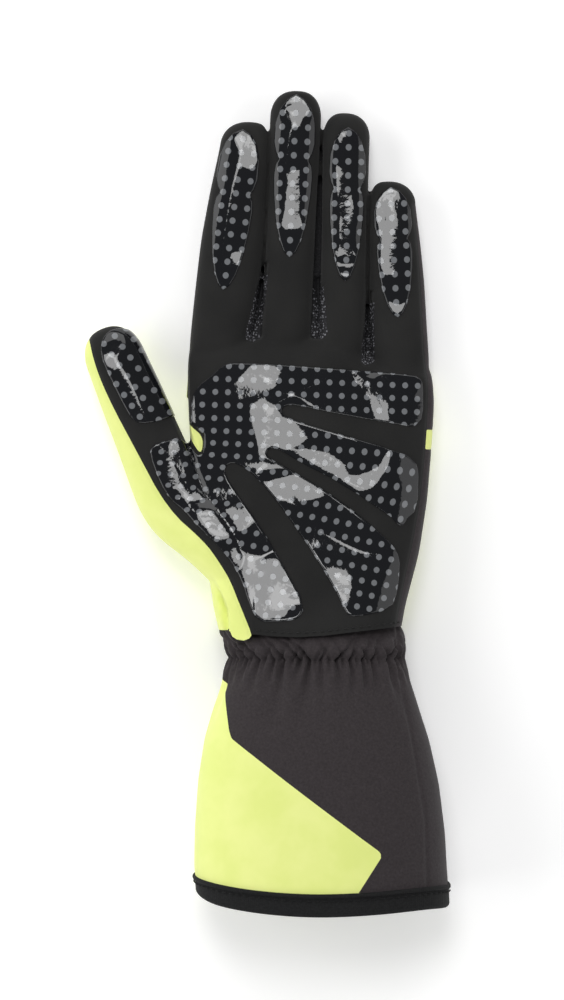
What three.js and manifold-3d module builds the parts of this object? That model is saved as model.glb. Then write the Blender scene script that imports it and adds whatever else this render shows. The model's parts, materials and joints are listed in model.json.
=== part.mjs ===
// A left-hand karting glove lying on its back, palm up: an open hand of five cloth fingers and a
// palm, sewn at a gathered wrist to a long flared cuff with a bound hem. Millimetres, +Z up, +Y to
// the fingertips, +X to the little finger; the origin is the middle of the bottom of its box.
import * as THREE from "three";
import { mergeVertices } from "three/addons/utils/BufferGeometryUtils.js";
import Module from "manifold-3d";

const wasm = await Module();
wasm.setup();

// Driving dimensions, in millimetres and degrees.
const clothWall = 1.6; // cloth of the hand
const cuffWall = 1.6;
const seamGap = 0.35; // left between two sewn pieces
const gripThickness = 0.9; // moulded grip patches on the palm side
const gripSeat = 0.3; // left under a grip patch
const palmLength = 115; // wrist line to the crotch of the middle finger
const palmDepth = 30;
const palmSlack = 2.4; // palm cloth wider than the row of fingers, both sides together
const palmCup = 2.2; // depth of the hollow in the middle of the palm
const palmShift = -2.2; // middle of the palm from the middle of the wrist
const wristDepth = 42;
const indexWidth = 22;
const middleWidth = 17.6;
const ringWidth = 16.6;
const littleWidth = 20.8;
const indexLength = 78.5;
const middleLength = 89.5;
const ringLength = 81.5;
const littleLength = 65.5;
const fingerDepth = 17.5; // at a finger's root
const indexGap = 3.7; // between the index and the middle finger at their crotch
const middleGap = 3.1;
const ringGap = 2.3;
const fingertipGap = 0.6; // between neighbouring fingertips
const middleLean = 3.5; // the middle fingertip is this far across from its root
const crotchDrop = 8.5; // the little finger's crotch is this much nearer the wrist
const thumbLength = 69; // the bend at its root to its tip
const thumbWidth = 23.2;
const thumbDepth = 21;
const thumbAngle = 22.8; // away from the line of the fingers
const cuffLength = 86; // wrist line to the end of the hem
const cuffWidth = 90; // at the hem
const cuffDepth = 60;
const cuffShift = 1.6; // middle of the hem from the middle of the wrist
const frillLength = 8.6; // cuff cloth beyond the wrist's elastic, up to the palm
const hemDip = 3.6; // the hem hangs this much longer at the front and back than at the sides
const gatherDepth = 1.3; // height of the gathers along the elastic
const gatherCount = 28; // round the wrist
const hemWidth = 8.4;
const hemThickness = 1; // binding on each face of the cuff
const pipingWidth = 1.8;
const pipingThickness = 1.3;
const fourchetteLength = 18; // knitted side strip between two fingers, from the crotch up
const fourchetteDepth = 9.5; // at the crotch
const sideStripWidth = 3.2; // of the side strip that shows beside the palm, at the wrist
const sideStripDepth = 4; // how far the side strip reaches down the side
const sideFlashLength = 7; // the bright band across the side strip
const knuckleInset = 14; // the fingers' back cloth starts this far behind the crotches

const fingerSides = 12;
const thumbSides = 12;
const palmSides = 20;
const tipRings = 3;
const cuffSides = 28; // inside, and round the hem

const rad = THREE.MathUtils.degToRad;
const mix = THREE.MathUtils.lerp;
const smooth = THREE.MathUtils.smoothstep;
const up = new THREE.Vector3(0, 0, 1);

// Solids

function solid(points, faces) {
  const made = (order) =>
    new wasm.Manifold(
      new wasm.Mesh({
        numProp: 3,
        vertProperties: new Float32Array(points.flatMap((p) => p.toArray())),
        triVerts: new Uint32Array(faces.flatMap(order)),
      }),
    );
  const first = made((f) => f);
  return first.volume() > 0 ? first : made((f) => [f[0], f[2], f[1]]);
}

// A closed solid through rings of equally many points, an even number of them, which start at one
// side and run round to it again; a ring of one point closes an end.
function loft(rings) {
  const sides = Math.max(...rings.map((ring) => ring.length));
  const points = rings.flat();
  const starts = rings.map((_, k) => rings.slice(0, k).reduce((sum, ring) => sum + ring.length, 0));
  const faces = [];
  const corner = (k, i) => starts[k] + (rings[k].length > 1 ? i % sides : 0);
  for (let k = 1; k < rings.length; k++)
    for (let i = 0; i < sides; i++) {
      const [a, b] = [corner(k - 1, i), corner(k - 1, i + 1)];
      const [c, d] = [corner(k, i + 1), corner(k, i)];
      if (a !== b) faces.push([a, b, c]);
      if (c !== d) faces.push([a, c, d]);
    }
  for (const k of [0, rings.length - 1]) {
    if (rings[k].length === 1) continue;
    for (let i = 0; i < sides / 2 - 1; i++) {
      const [a, b] = [corner(k, i), corner(k, i + 1)];
      const [c, d] = [corner(k, sides - 2 - i), corner(k, sides - 1 - i)];
      faces.push(...(k === 0 ? [[a, c, b], [a, d, c]] : [[a, b, c], [a, c, d]]));
    }
  }
  return solid(points, faces);
}

// A prism over an outline of [u, v] points from low to high; place turns (u, v, w) into a point.
function prism(outline, low, high, place = (u, v, w) => new THREE.Vector3(u, v, w)) {
  const shape = new THREE.Shape(outline.map(([u, v]) => new THREE.Vector2(u, v)));
  const body = new THREE.ExtrudeGeometry(shape, { depth: high - low, bevelEnabled: false });
  body.deleteAttribute("normal");
  body.deleteAttribute("uv");
  const merged = mergeVertices(body, 1e-4);
  const at = merged.getAttribute("position");
  const points = Array.from({ length: at.count }, (_, i) =>
    place(at.getX(i), at.getY(i), at.getZ(i) + low),
  );
  const index = Array.from(merged.index.array);
  const faces = Array.from({ length: index.length / 3 }, (_, i) => index.slice(3 * i, 3 * i + 3));
  return solid(points, faces);
}

const union = (solids) => solids.reduce((a, b) => a.add(b));

// Sections

// Points round a section in its own plane, x across and z up; a larger power makes it squarer.
function roundSection(sides, halfWidth, halfDepth, power) {
  const bent = (v) => Math.sign(v) * Math.abs(v) ** (2 / power);
  return Array.from({ length: sides }, (_, i) => {
    const turn = (2 * Math.PI * (i + 0.5)) / sides;
    return { x: halfWidth * bent(Math.cos(turn)), z: halfDepth * bent(Math.sin(turn)) };
  });
}

// A table's row at a share: each column is read between the rows on either side.
function rowAt(table, share) {
  const next = table.findIndex((row) => row.at >= share);
  if (next <= 0) return table.at(next);
  const [a, b] = [table[next - 1], table[next]];
  const t = (share - a.at) / (b.at - a.at);
  return Object.fromEntries(Object.keys(a).map((key) => [key, mix(a[key], b[key], t)]));
}

// A tube of sections with a rounded closed tip; it lies flat where it meets the ground.
function tube(sections, grow, sides, power) {
  const last = sections.at(-1);
  const ends = Array.from({ length: tipRings }, (_, k) => {
    const turn = (Math.PI / 2) * ((k + 1) / tipRings);
    const left = k === tipRings - 1 ? 0 : Math.cos(turn) ** TIP_BLUNTNESS;
    return {
      centre: last.centre.clone().lerp(last.tip, Math.sin(turn)),
      halfWidth: last.halfWidth * left,
      halfDepth: last.halfDepth * left,
    };
  });
  const all = [...sections, ...ends];
  return loft(
    all.map((s, k) => {
      if (s.halfWidth === 0) return [s.centre];
      const before = all[Math.max(k - 1, 0)].centre;
      const after = all[Math.min(k + 1, all.length - 1)].centre;
      const along = after.clone().sub(before).setZ(0).normalize();
      const across = along.cross(up);
      return roundSection(sides, s.halfWidth, s.halfDepth, power).map((p) =>
        s.centre.clone().addScaledVector(across, p.x).addScaledVector(up, p.z),
      );
    }),
  );
}
const TIP_BLUNTNESS = 0.8;

// Flattened on the ground: no point of a form grown by some millimetres lies lower than this.
const groundOf = (grow) => -grow;

// Fingers

// Gap: to the next finger at the crotch. Belly and tip: widths as shares of the root's width.
const FINGERS = [
  { name: "index", width: indexWidth, length: indexLength, gap: indexGap, belly: 1.04, tip: 0.77 },
  { name: "middle", width: middleWidth, length: middleLength, gap: middleGap, belly: 1.01, tip: 1 },
  { name: "ring", width: ringWidth, length: ringLength, gap: ringGap, belly: 0.98, tip: 0.94 },
  { name: "little", width: littleWidth, length: littleLength, gap: 0, belly: 0.97, tip: 0.8 },
];
const [INDEX, MIDDLE, RING, LITTLE] = FINGERS;
// Depth: share of the finger's. Taper: how far from the belly's width to the tip's.
const FINGER_ROWS = [
  { at: -0.32, swell: 0, taper: 0.6, depth: 0.8, lift: 0.8 },
  { at: 0, swell: 0, taper: 0, depth: 1, lift: 0 },
  { at: 0.25, swell: 0.7, taper: 0, depth: 0.98, lift: 0 },
  { at: 0.5, swell: 1, taper: 0, depth: 0.95, lift: 0.1 },
  { at: 0.75, swell: 1, taper: 0.4, depth: 0.88, lift: 0.5 },
  { at: 1, swell: 1, taper: 1, depth: 0.78, lift: 1 },
];
const FINGER_POWER = 2.5;
const TIP_ROUND = 0.52; // length of the rounded tip, as a share of its width
const TIP_LIFT = 0.1; // the tip's underside stands this share of the depth off the ground

const rowWidth = FINGERS.reduce((sum, f) => sum + f.width + f.gap, 0);
const palmWidth = rowWidth + palmSlack;
const halfPalm = palmWidth / 2;

let edge = palmShift - rowWidth / 2;
for (const f of FINGERS) {
  f.rootX = edge + f.width / 2;
  f.rootY = palmLength - (f === LITTLE ? crotchDrop : 0);
  edge += f.width + f.gap;
}
const tipSpacing = (a, b) => (a.width * a.tip + b.width * b.tip) / 2 + fingertipGap;
MIDDLE.tipX = MIDDLE.rootX + middleLean;
INDEX.tipX = MIDDLE.tipX - tipSpacing(INDEX, MIDDLE);
RING.tipX = MIDDLE.tipX + tipSpacing(MIDDLE, RING);
LITTLE.tipX = RING.tipX + tipSpacing(RING, LITTLE);

// A finger's section at a share of its stretch below the rounded tip.
function fingerSection(f, share, grow) {
  const row = rowAt(FINGER_ROWS, share);
  const round = TIP_ROUND * f.width * f.tip;
  const span = (f.length - round) / f.length;
  const root = new THREE.Vector3(f.rootX, f.rootY, 0);
  const tip = new THREE.Vector3(f.tipX, f.rootY + f.length, 0);
  const belly = mix(1, f.belly, row.swell);
  const halfDepth = (fingerDepth * row.depth) / 2;
  const height = halfDepth + TIP_LIFT * fingerDepth * row.lift;
  const along = tip.clone().sub(root).normalize();
  return {
    centre: root.clone().lerp(tip, share * span).setZ(height),
    tip: tip.clone().addScaledVector(along, grow).setZ(height),
    halfWidth: (f.width * mix(belly, f.tip, row.taper)) / 2 + grow,
    halfDepth: halfDepth + grow,
  };
}

function finger(f, grow) {
  const sections = FINGER_ROWS.map((row) => fingerSection(f, row.at, grow));
  return tube(sections, grow, fingerSides, FINGER_POWER);
}

// Thumb

// Centres as shares of half the palm's width and of its length, sizes as shares of the thumb's.
// Seam: where the yellow back's edge crosses, from -1 at the outer side to 1 at the inner side.
const THENAR_ROWS = [
  { x: -0.15, y: 0.1, z: 0.6, width: 1.0, depth: 1.2, seam: -0.9 },
  { x: -0.46, y: 0.25, z: 0.62, width: 1.04, depth: 1.33, seam: -0.5 },
  { x: -0.8, y: 0.38, z: 0.6, width: 1.08, depth: 1.3, seam: -0.25 },
  { x: -1.09, y: 0.48, z: 0.5, width: 1.17, depth: 1.13, seam: -0.3 },
];
const THUMB_ROWS = [
  { at: 0.36, width: 1.05, depth: 1.04, seam: -0.55 },
  { at: 0.62, width: 1, depth: 0.96, seam: -0.72 },
  { at: 0.82, width: 0.93, depth: 0.88, seam: -0.84 },
];
const THUMB_POWER = 2.4;
const THUMB_TIP_HEIGHT = 0.38; // of the thumb's tip above the ground, as a share of the palm's depth

const thumbRoot = new THREE.Vector3(
  palmShift + THENAR_ROWS.at(-1).x * halfPalm,
  THENAR_ROWS.at(-1).y * palmLength,
  THENAR_ROWS.at(-1).z * palmDepth,
);
const thumbTip = new THREE.Vector3(
  thumbRoot.x - thumbLength * Math.sin(rad(thumbAngle)),
  thumbRoot.y + thumbLength * Math.cos(rad(thumbAngle)),
  THUMB_TIP_HEIGHT * palmDepth,
);

function thumbSections(grow) {
  const sized = (centre, row) => ({
    centre,
    tip: thumbTip.clone().addScaledVector(thumbTip.clone().sub(thumbRoot).normalize(), grow),
    halfWidth: (thumbWidth * row.width) / 2 + grow,
    halfDepth: (thumbDepth * row.depth) / 2 + grow,
    seam: row.seam,
  });
  const base = THENAR_ROWS.map((row) =>
    sized(
      new THREE.Vector3(palmShift + row.x * halfPalm, row.y * palmLength, row.z * palmDepth),
      row,
    ),
  );
  return [...base, ...THUMB_ROWS.map((row) => sized(thumbRoot.clone().lerp(thumbTip, row.at), row))];
}

// Palm

// Left and right: shares of half the palm's width. Top and bottom: shares of the palm's depth.
// Cup: how much of the palm's hollow. Drop: how much of the little finger's lower crotch.
const wristTop = wristDepth / palmDepth;
const PALM_ROWS = [
  { at: -0.04, left: 0.69, right: 0.78, top: wristTop, bottom: 0.03, cup: 0, drop: 0 },
  { at: 0.06, left: 0.71, right: 0.79, top: wristTop * 0.98, bottom: 0.02, cup: 0.1, drop: 0 },
  { at: 0.17, left: 0.78, right: 0.79, top: wristTop * 0.9, bottom: 0, cup: 0.5, drop: 0 },
  { at: 0.33, left: 0.84, right: 0.88, top: wristTop * 0.81, bottom: -0.02, cup: 0.9, drop: 0 },
  { at: 0.5, left: 0.91, right: 0.95, top: 1.03, bottom: -0.03, cup: 1, drop: 0 },
  { at: 0.68, left: 0.97, right: 0.99, top: 0.94, bottom: -0.03, cup: 0.7, drop: 0 },
  { at: 0.85, left: 0.99, right: 1.01, top: 0.82, bottom: -0.02, cup: 0.2, drop: 0.6 },
  { at: 0.94, left: 0.99, right: 1, top: 0.7, bottom: 0, cup: 0, drop: 0.9 },
  { at: 0.985, left: 0.97, right: 0.98, top: 0.57, bottom: 0.06, cup: 0, drop: 1 },
  { at: 1, left: 0.93, right: 0.94, top: 0.45, bottom: 0.15, cup: 0, drop: 1 },
];
const PALM_POWER = 2.8;
const CUP_WIDTH = 0.45; // of the palm's hollow, as a share of half the palm

// How far toward the wrist the finger row is set back at some x: more at the little finger.
const dropAt = (x) => crotchDrop * smooth(x, RING.rootX, LITTLE.rootX - LITTLE.width / 2);

function palm(grow) {
  const last = PALM_ROWS.length - 1;
  return loft(
    PALM_ROWS.map((row, k) => {
      const left = palmShift - row.left * halfPalm - grow;
      const right = palmShift + row.right * halfPalm + grow;
      const low = row.bottom * palmDepth - grow;
      const high = row.top * palmDepth + grow;
      const section = roundSection(palmSides, (right - left) / 2, (high - low) / 2, PALM_POWER);
      const beyond = k === last ? grow : k === 0 ? -Math.abs(grow) : 0;
      return section.map((p) => {
        const hollow = Math.exp(-((p.x / (CUP_WIDTH * halfPalm)) ** 2));
        const x = (left + right) / 2 + p.x;
        const y = row.at * palmLength - dropAt(x) * row.drop + beyond;
        const z = (low + high) / 2 + p.z - (p.z > 0 ? palmCup * row.cup * hollow : 0);
        return new THREE.Vector3(x, y, Math.max(z, groundOf(grow)));
      });
    }),
  );
}

// The whole hand, grown by some millimetres, as one solid.
const hand = (grow) =>
  union([
    palm(grow),
    ...FINGERS.map((f) => finger(f, grow)),
    tube(thumbSections(grow), grow, thumbSides, THUMB_POWER),
  ]);

// Cuff

// Shares of the cuff's length toward the hem, of its width and of its depth. Gather: how much of
// the gathers' depth. Hem: how much of the hem's shift and dip. Lift: how much of its rise.
const CUFF_ROWS = [
  { at: 0.03, width: 0.72, depth: 0.7, gather: 0.9, hem: 0, lift: 0 },
  { at: 0.07, width: 0.735, depth: 0.73, gather: 0.6, hem: 0, lift: 0 },
  { at: 0.15, width: 0.785, depth: 0.78, gather: 0.3, hem: 0, lift: 0 },
  { at: 0.32, width: 0.885, depth: 0.86, gather: 0.08, hem: 0.1, lift: 0.2 },
  { at: 0.5, width: 0.945, depth: 0.92, gather: 0, hem: 0.5, lift: 0.6 },
  { at: 0.7, width: 0.98, depth: 0.97, gather: 0, hem: 0.8, lift: 1 },
  { at: 1, width: 1, depth: 1, gather: 0, hem: 1, lift: 1 },
];
// Above the elastic, as shares of the frill's length; grooved at the elastic itself.
const FRILL_ROWS = [
  { at: 1, width: 0.745, depth: 0.73, gather: 0.35 },
  { at: 0.55, width: 0.75, depth: 0.73, gather: 0.8 },
  { at: 0.15, width: 0.725, depth: 0.705, gather: 1 },
  { at: -0.1, width: 0.7, depth: 0.68, gather: 1 },
];
const CUFF_POWER = 2.3;

const CUFF_SECTIONS = [
  ...FRILL_ROWS.map((row) => ({ ...row, y: row.at * frillLength, hem: 0, lift: 0 })),
  ...CUFF_ROWS.map((row) => ({ ...row, y: -row.at * cuffLength })),
].map((row) => ({ ...row, at: -row.y }));

const hemLift = seamGap + hemThickness; // the cuff's cloth is held off the ground by its binding

// The cuff's form, grown by some millimetres, between two distances below the wrist line.
function cuff(grow, from, to, sides = 2 * gatherCount) {
  const between = CUFF_SECTIONS.filter((row) => row.at > from + 0.1 && row.at < to - 0.1);
  const endRow = (at) => ({ ...rowAt(CUFF_SECTIONS, at), y: -at });
  const rows = [endRow(from), ...between, endRow(to)];
  return loft(
    rows.map((row) => {
      const inside = grow < 0 ? gatherDepth * row.gather : 0;
      const halfWidth = (cuffWidth * row.width) / 2 + grow - inside;
      const halfDepth = (cuffDepth * row.depth) / 2 + grow - inside;
      return roundSection(sides, halfWidth, halfDepth, CUFF_POWER).map((p, i) => {
        const fold = grow < 0 || i % 2 ? 0 : gatherDepth * row.gather;
        const inward = 1 - fold / Math.hypot(p.x, p.z);
        const x = cuffShift * row.hem + p.x * inward;
        const y = row.y + hemDip * row.hem * (p.x / halfWidth) ** 4;
        const z = (cuffDepth * row.depth) / 2 + p.z * inward;
        const ground = hemLift * row.lift + groundOf(Math.min(grow, hemLift));
        return new THREE.Vector3(x, y, Math.max(z, ground));
      });
    }),
  );
}

// Zones: the region that each piece of cloth is cut from, grown by a gap where it cuts another.

const far = palmLength + middleLength + cuffLength;
const MITRE_LIMIT = 0.4;

// An outline of [x, y] points moved outward by some millimetres.
function grown(outline, by) {
  const shape = outline.map(([x, y]) => new THREE.Vector2(x, y));
  const turned = THREE.ShapeUtils.isClockWise(shape) ? shape.reverse() : shape;
  return turned.map((p, i) => {
    const before = turned.at(i - 1);
    const after = turned[(i + 1) % turned.length];
    const normals = [[before, p], [p, after]].map(([a, b]) =>
      new THREE.Vector2(b.y - a.y, a.x - b.x).normalize(),
    );
    const way = normals[0].clone().add(normals[1]).normalize();
    return p.clone().addScaledVector(way, by / Math.max(way.dot(normals[0]), MITRE_LIMIT)).toArray();
  });
}

const upright = (outline, grow = 0) => prism(grown(outline, grow), -far, far);
const sideways = (outline, low, high) =>
  prism(outline, low, high, (u, v, w) => new THREE.Vector3(w, u, v));

// Everything above a line of [y, z] points that runs along the glove, raised by some millimetres.
const above = (line, raise) =>
  sideways(
    [...line.map(([y, z]) => [y, z + raise]), [line.at(-1)[0], far], [line[0][0], far]],
    -far,
    far,
  );

// Everything between two distances along the glove.
const lengthwise = (from, to) => upright([[-far, from], [far, from], [far, to], [-far, to]]);

// Cuts a shell into pieces: each takes what the ones before it have left of its own zone.
function pieces(shell, zones) {
  return zones.map(([, zone], k) =>
    zones.slice(0, k).reduce((left, [, cut]) => left.subtract(cut(seamGap)), shell.intersect(zone(0))),
  );
}

const palmPoint = ([across, along]) => [palmShift + across * halfPalm, along * palmLength];

// Hand

// The seam between the palm side and the back, as shares of the palm's length and depth.
const HAND_SEAM = [
  { at: -0.5, z: 0.68 },
  { at: 0, z: 0.62 },
  { at: 0.5, z: 0.44 },
  { at: 0.9, z: 0.3 },
  { at: 1.3, z: 0.28 },
  { at: 2, z: 0.27 },
];
const handSeam = HAND_SEAM.map((row) => [row.at * palmLength, row.z * palmDepth]);
const seamHeight = (y) => rowAt(HAND_SEAM, y / palmLength).z * palmDepth;

// Knitted strips down the facing sides of two fingers, joined across their crotch.
const FOURCHETTE_LOW = 0.55; // of its depth, below the seam between palm side and back
const webDepth = clothWall + seamGap;
function fourchetteZone(left, right, grow) {
  const x = left.rootX + left.width / 2 + left.gap / 2;
  const start = palmLength - dropAt(x) - webDepth - grow;
  const end = start + webDepth + fourchetteLength + 2 * grow;
  const low = seamHeight(start) - FOURCHETTE_LOW * fourchetteDepth - grow;
  const high = low + fourchetteDepth + 2 * grow;
  const outline = [
    [start, low],
    [end, mix(low, high, 0.35)],
    [end, mix(low, high, 0.55)],
    [mix(start, end, 0.35), high],
    [start, high],
  ];
  const reach = left.gap / 2 + 2 * clothWall + grow;
  return sideways(outline, x - reach, x + reach);
}

// The side strip's edge beside the little finger and the palm, in shares of the strip's width.
const STRIP_FINGER_ROWS = [
  { at: 1, inset: 0.12 },
  { at: 0.7, inset: 0.3 },
  { at: 0.35, inset: 0.5 },
  { at: 0, inset: 0.62 },
];
const STRIP_PALM_ROWS = [
  { at: 0.85, inset: 0.75 },
  { at: 0.5, inset: 0.9 },
  { at: 0.17, inset: 1 },
  { at: 0, inset: 1 },
];
const stripEdge = [
  ...STRIP_FINGER_ROWS.map((row) => {
    const s = fingerSection(LITTLE, row.at, 0);
    return [s.centre.x + s.halfWidth - row.inset * sideStripWidth, s.centre.y];
  }),
  ...STRIP_PALM_ROWS.map((row) => {
    const [x, y] = palmPoint([rowAt(PALM_ROWS, row.at).right, row.at]);
    return [x - row.inset * sideStripWidth, y];
  }),
];
const stripOutline = [...stripEdge, [far, stripEdge.at(-1)[1]], [far, stripEdge[0][1]]];
const stripZone = (grow) => upright(stripOutline, grow).intersect(above(handSeam, -sideStripDepth - grow));
const SIDE_FLASH_AT = 0.655; // of the palm's length
const flashFoot = SIDE_FLASH_AT * palmLength;
const flashZone = (grow) =>
  stripZone(grow).intersect(lengthwise(flashFoot - grow, flashFoot + sideFlashLength + grow));

// The bright thumb side: its seam over the palm side runs from the tip down to the wrist.
const THUMB_SEAM_FOOT = [
  [-0.6, 0.19],
  [-0.5, 0.125],
  [-0.475, 0.075],
];
const thumbOut = thumbTip.clone().sub(thumbRoot).setZ(0).normalize();
const thumbAcross = thumbOut.clone().cross(up);
const thumbSeam = thumbSections(0)
  .slice(1)
  .toReversed()
  .map((s) => s.centre.clone().addScaledVector(thumbAcross, s.halfWidth * s.seam))
  .map((p) => [p.x, p.y]);
const pastTip = thumbTip.clone().addScaledVector(thumbAcross, -thumbWidth / 2);
// Its lower end is a flap toward the wrist, and the back of the hand shows outside of it.
const FLAP_EDGE = [
  [-0.54, 0.068],
  [-0.65, 0.085],
  [-0.72, 0.16],
  [-0.85, 0.235],
  [-1.5, 0.25],
].map(palmPoint);
const thumbOutline = [
  [pastTip.x, pastTip.y],
  ...thumbSeam,
  ...THUMB_SEAM_FOOT.map(palmPoint),
  ...FLAP_EDGE,
  [-far, FLAP_EDGE.at(-1)[1]],
  [-far, pastTip.y],
];
// Under the thumb it runs in as far as this.
const THUMB_UNDER = [
  [-1.3, 1.25],
  [-1, 0.69],
  [-0.8, 0.45],
  [-0.62, 0.25],
  [-3, 0.25],
  [-3, 1.25],
].map(palmPoint);
const thumbZone = (grow) =>
  upright(thumbOutline, grow)
    .intersect(above(handSeam, -grow - OVERLAP))
    .add(upright(THUMB_UNDER, grow).subtract(above(handSeam, grow)));
const OVERLAP = 0.01; // by which zones of one piece run into each other

// The back of the hand also shows outside of the flap and in the thumb's crotch.
const FLAP_SIDE = [...FLAP_EDGE, palmPoint([-1.5, 0]), palmPoint([-0.54, 0])];
const THUMB_CROTCH = [
  [-1, 0.74],
  [-0.95, 0.73],
  [-0.885, 0.69],
  [-0.89, 0.655],
  [-0.93, 0.65],
  [-0.97, 0.68],
].map(palmPoint);
const knuckles = palmLength - knuckleInset;
const backZone = (grow) =>
  lengthwise(-far, knuckles + grow)
    .subtract(above(handSeam, grow))
    .add(upright(FLAP_SIDE, grow))
    .add(upright(THUMB_CROTCH, grow));

const HAND_PIECES = [
  ["fourchette_index_middle", (grow) => fourchetteZone(INDEX, MIDDLE, grow)],
  ["fourchette_middle_ring", (grow) => fourchetteZone(MIDDLE, RING, grow)],
  ["fourchette_ring_little", (grow) => fourchetteZone(RING, LITTLE, grow)],
  ["side_flash", flashZone],
  ["side_strip_upper", (grow) => stripZone(grow).intersect(lengthwise(flashFoot - grow, far))],
  ["side_strip_lower", (grow) => stripZone(grow).intersect(lengthwise(-far, flashFoot + grow))],
  ["thumb_side", thumbZone],
  ["hand_back", backZone],
  ["palm_panel", (grow) => above(handSeam, -grow)],
  ["finger_backs", () => lengthwise(-far, far)],
];
const handShell = hand(0)
  .subtract(hand(-clothWall))
  .intersect(lengthwise(frillLength + seamGap, far));
const handPieces = pieces(handShell, HAND_PIECES);

// Grips

// Half a finger grip's outline from its lower point to its top, with a waist at the finger's bend.
const GRIP_ROWS = [
  { at: 0, width: 0 },
  { at: 0.03, width: 0.3 },
  { at: 0.1, width: 0.56 },
  { at: 0.22, width: 0.8 },
  { at: 0.38, width: 0.95 },
  { at: 0.5, width: 1 },
  { at: 0.565, width: 0.93 },
  { at: 0.6, width: 0.76 },
  { at: 0.635, width: 0.93 },
  { at: 0.7, width: 1.06 },
  { at: 0.82, width: 1.02 },
  { at: 0.91, width: 0.8 },
  { at: 0.97, width: 0.45 },
  { at: 1, width: 0 },
];
// From, to: shares of the finger's length. Width, shift: shares of the finger's width.
const FINGER_GRIPS = [
  { finger: INDEX, from: 0.22, to: 0.955, width: 0.66, shift: -0.05 },
  { finger: MIDDLE, from: 0.325, to: 0.98, width: 0.71, shift: 0 },
  { finger: RING, from: 0.25, to: 0.93, width: 0.73, shift: 0.03 },
  { finger: LITTLE, from: 0.245, to: 0.96, width: 0.61, shift: -0.02 },
];
function gripOutline({ finger: f, from, to, width, shift }) {
  const root = new THREE.Vector3(f.rootX, f.rootY, 0);
  const tip = new THREE.Vector3(f.tipX, f.rootY + f.length, 0);
  const across = tip.clone().sub(root).normalize().cross(up);
  const point = (row, side) => {
    const p = root.clone().lerp(tip, mix(from, to, row.at));
    p.addScaledVector(across, f.width * (shift + (side * width * row.width) / 2));
    return [p.x, p.y];
  };
  const right = GRIP_ROWS.map((row) => point(row, 1));
  const left = GRIP_ROWS.slice(1, -1).map((row) => point(row, -1));
  return [...right, ...left.toReversed()];
}

// Along the thumb from its root, and across it in half widths; past 1 it wraps round the side.
const THUMB_GRIP = [
  [0.43, 1.4],
  [0.435, 0.5],
  [0.46, -0.02],
  [0.49, -0.18],
  [0.53, -0.25],
  [0.66, -0.32],
  [0.81, -0.36],
  [0.87, -0.33],
  [0.92, -0.2],
  [0.955, 0],
  [0.97, 0.3],
  [0.95, 0.7],
  [0.87, 1.4],
];
const thumbGripOutline = THUMB_GRIP.map(([along, across]) => {
  const p = thumbRoot.clone().lerp(thumbTip, along);
  p.addScaledVector(thumbAcross, (across * thumbWidth) / 2);
  return [p.x, p.y];
});

// The palm's grip as [across, along]: shares of half the palm's width and of its length.
const PALM_GRIP = [
  [-0.71, 0.913],
  [-0.58, 0.926],
  [0.31, 0.9],
  [0.83, 0.886],
  [0.89, 0.874],
  [0.91, 0.858],
  [0.91, 0.755],
  [0.85, 0.727],
  [0.83, 0.625],
  [0.87, 0.606],
  [0.86, 0.469],
  [0.746, 0.432],
  [0.72, 0.335],
  [0.7, 0.224],
  [0.64, 0.162],
  [0.347, 0.14],
  [-0.068, 0.135],
  [-0.272, 0.125],
  [-0.419, 0.128],
  [-0.492, 0.184],
  [-0.54, 0.246],
  [-0.638, 0.314],
  [-0.769, 0.37],
  [-0.9, 0.417],
  [-1.013, 0.466],
  [-1.11, 0.494],
  [-1.2, 0.547],
  [-1.29, 0.64],
  [-1.26, 0.668],
  [-1.176, 0.677],
  [-1.0, 0.7],
  [-0.956, 0.715],
  [-0.956, 0.811],
  [-0.9, 0.851],
  [-0.793, 0.882],
];
// Slots in the grip where the palm's cloth shows, each from its open end round its tip.
const PALM_SLOTS = [
  [
    [1, 0.712],
    [0.25, 0.761],
    [-0.125, 0.792],
    [-0.2, 0.79],
    [-0.235, 0.772],
    [-0.2, 0.752],
    [0.25, 0.699],
    [0.66, 0.653],
    [1, 0.6],
  ],
  [
    [0.78, 0.41],
    [0.25, 0.55],
    [-0.07, 0.612],
    [-0.256, 0.656],
    [-0.33, 0.657],
    [-0.355, 0.635],
    [-0.272, 0.615],
    [-0.07, 0.572],
    [0.25, 0.494],
    [0.56, 0.398],
    [0.8, 0.3],
  ],
  [
    [0.3, 0.1],
    [0.265, 0.178],
    [0.037, 0.327],
    [-0.215, 0.469],
    [-0.419, 0.566],
    [-0.58, 0.612],
    [-0.66, 0.61],
    [-0.69, 0.588],
    [-0.63, 0.541],
    [-0.378, 0.407],
    [-0.166, 0.265],
    [-0.044, 0.178],
    [-0.1, 0.1],
  ],
];
const GRIP_RISE = 2; // a grip's edge stays this far above the seam to the back

const gripSkin = hand(gripSeat + gripThickness)
  .subtract(hand(gripSeat))
  .intersect(above(handSeam, GRIP_RISE));
const grip = (outline) => gripSkin.intersect(upright(outline));
const palmGrip = PALM_SLOTS.reduce(
  (left, slot) => left.subtract(upright(slot.map(palmPoint))),
  grip(PALM_GRIP.map(palmPoint)),
);

// Cuff pieces

const cuffPoint = ([at, across]) => [(across * cuffWidth) / 2, -at * cuffLength];
const seamLine = CUFF_SECTIONS.map((row) => [row.y, (cuffDepth * row.depth) / 2]).reverse();
const cuffSeam = [
  [-far, seamLine[0][1]],
  ...seamLine,
  [far, seamLine.at(-1)[1]],
];
const CUFF_FLASH = [
  [0.057, -1.5],
  [0.057, -0.742],
  [0.136, -0.727],
  [0.319, -0.687],
  [0.788, 0.504],
  [0.813, 0.504],
  [1.05, 0.25],
  [1.05, -1.5],
].map(cuffPoint);
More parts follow.
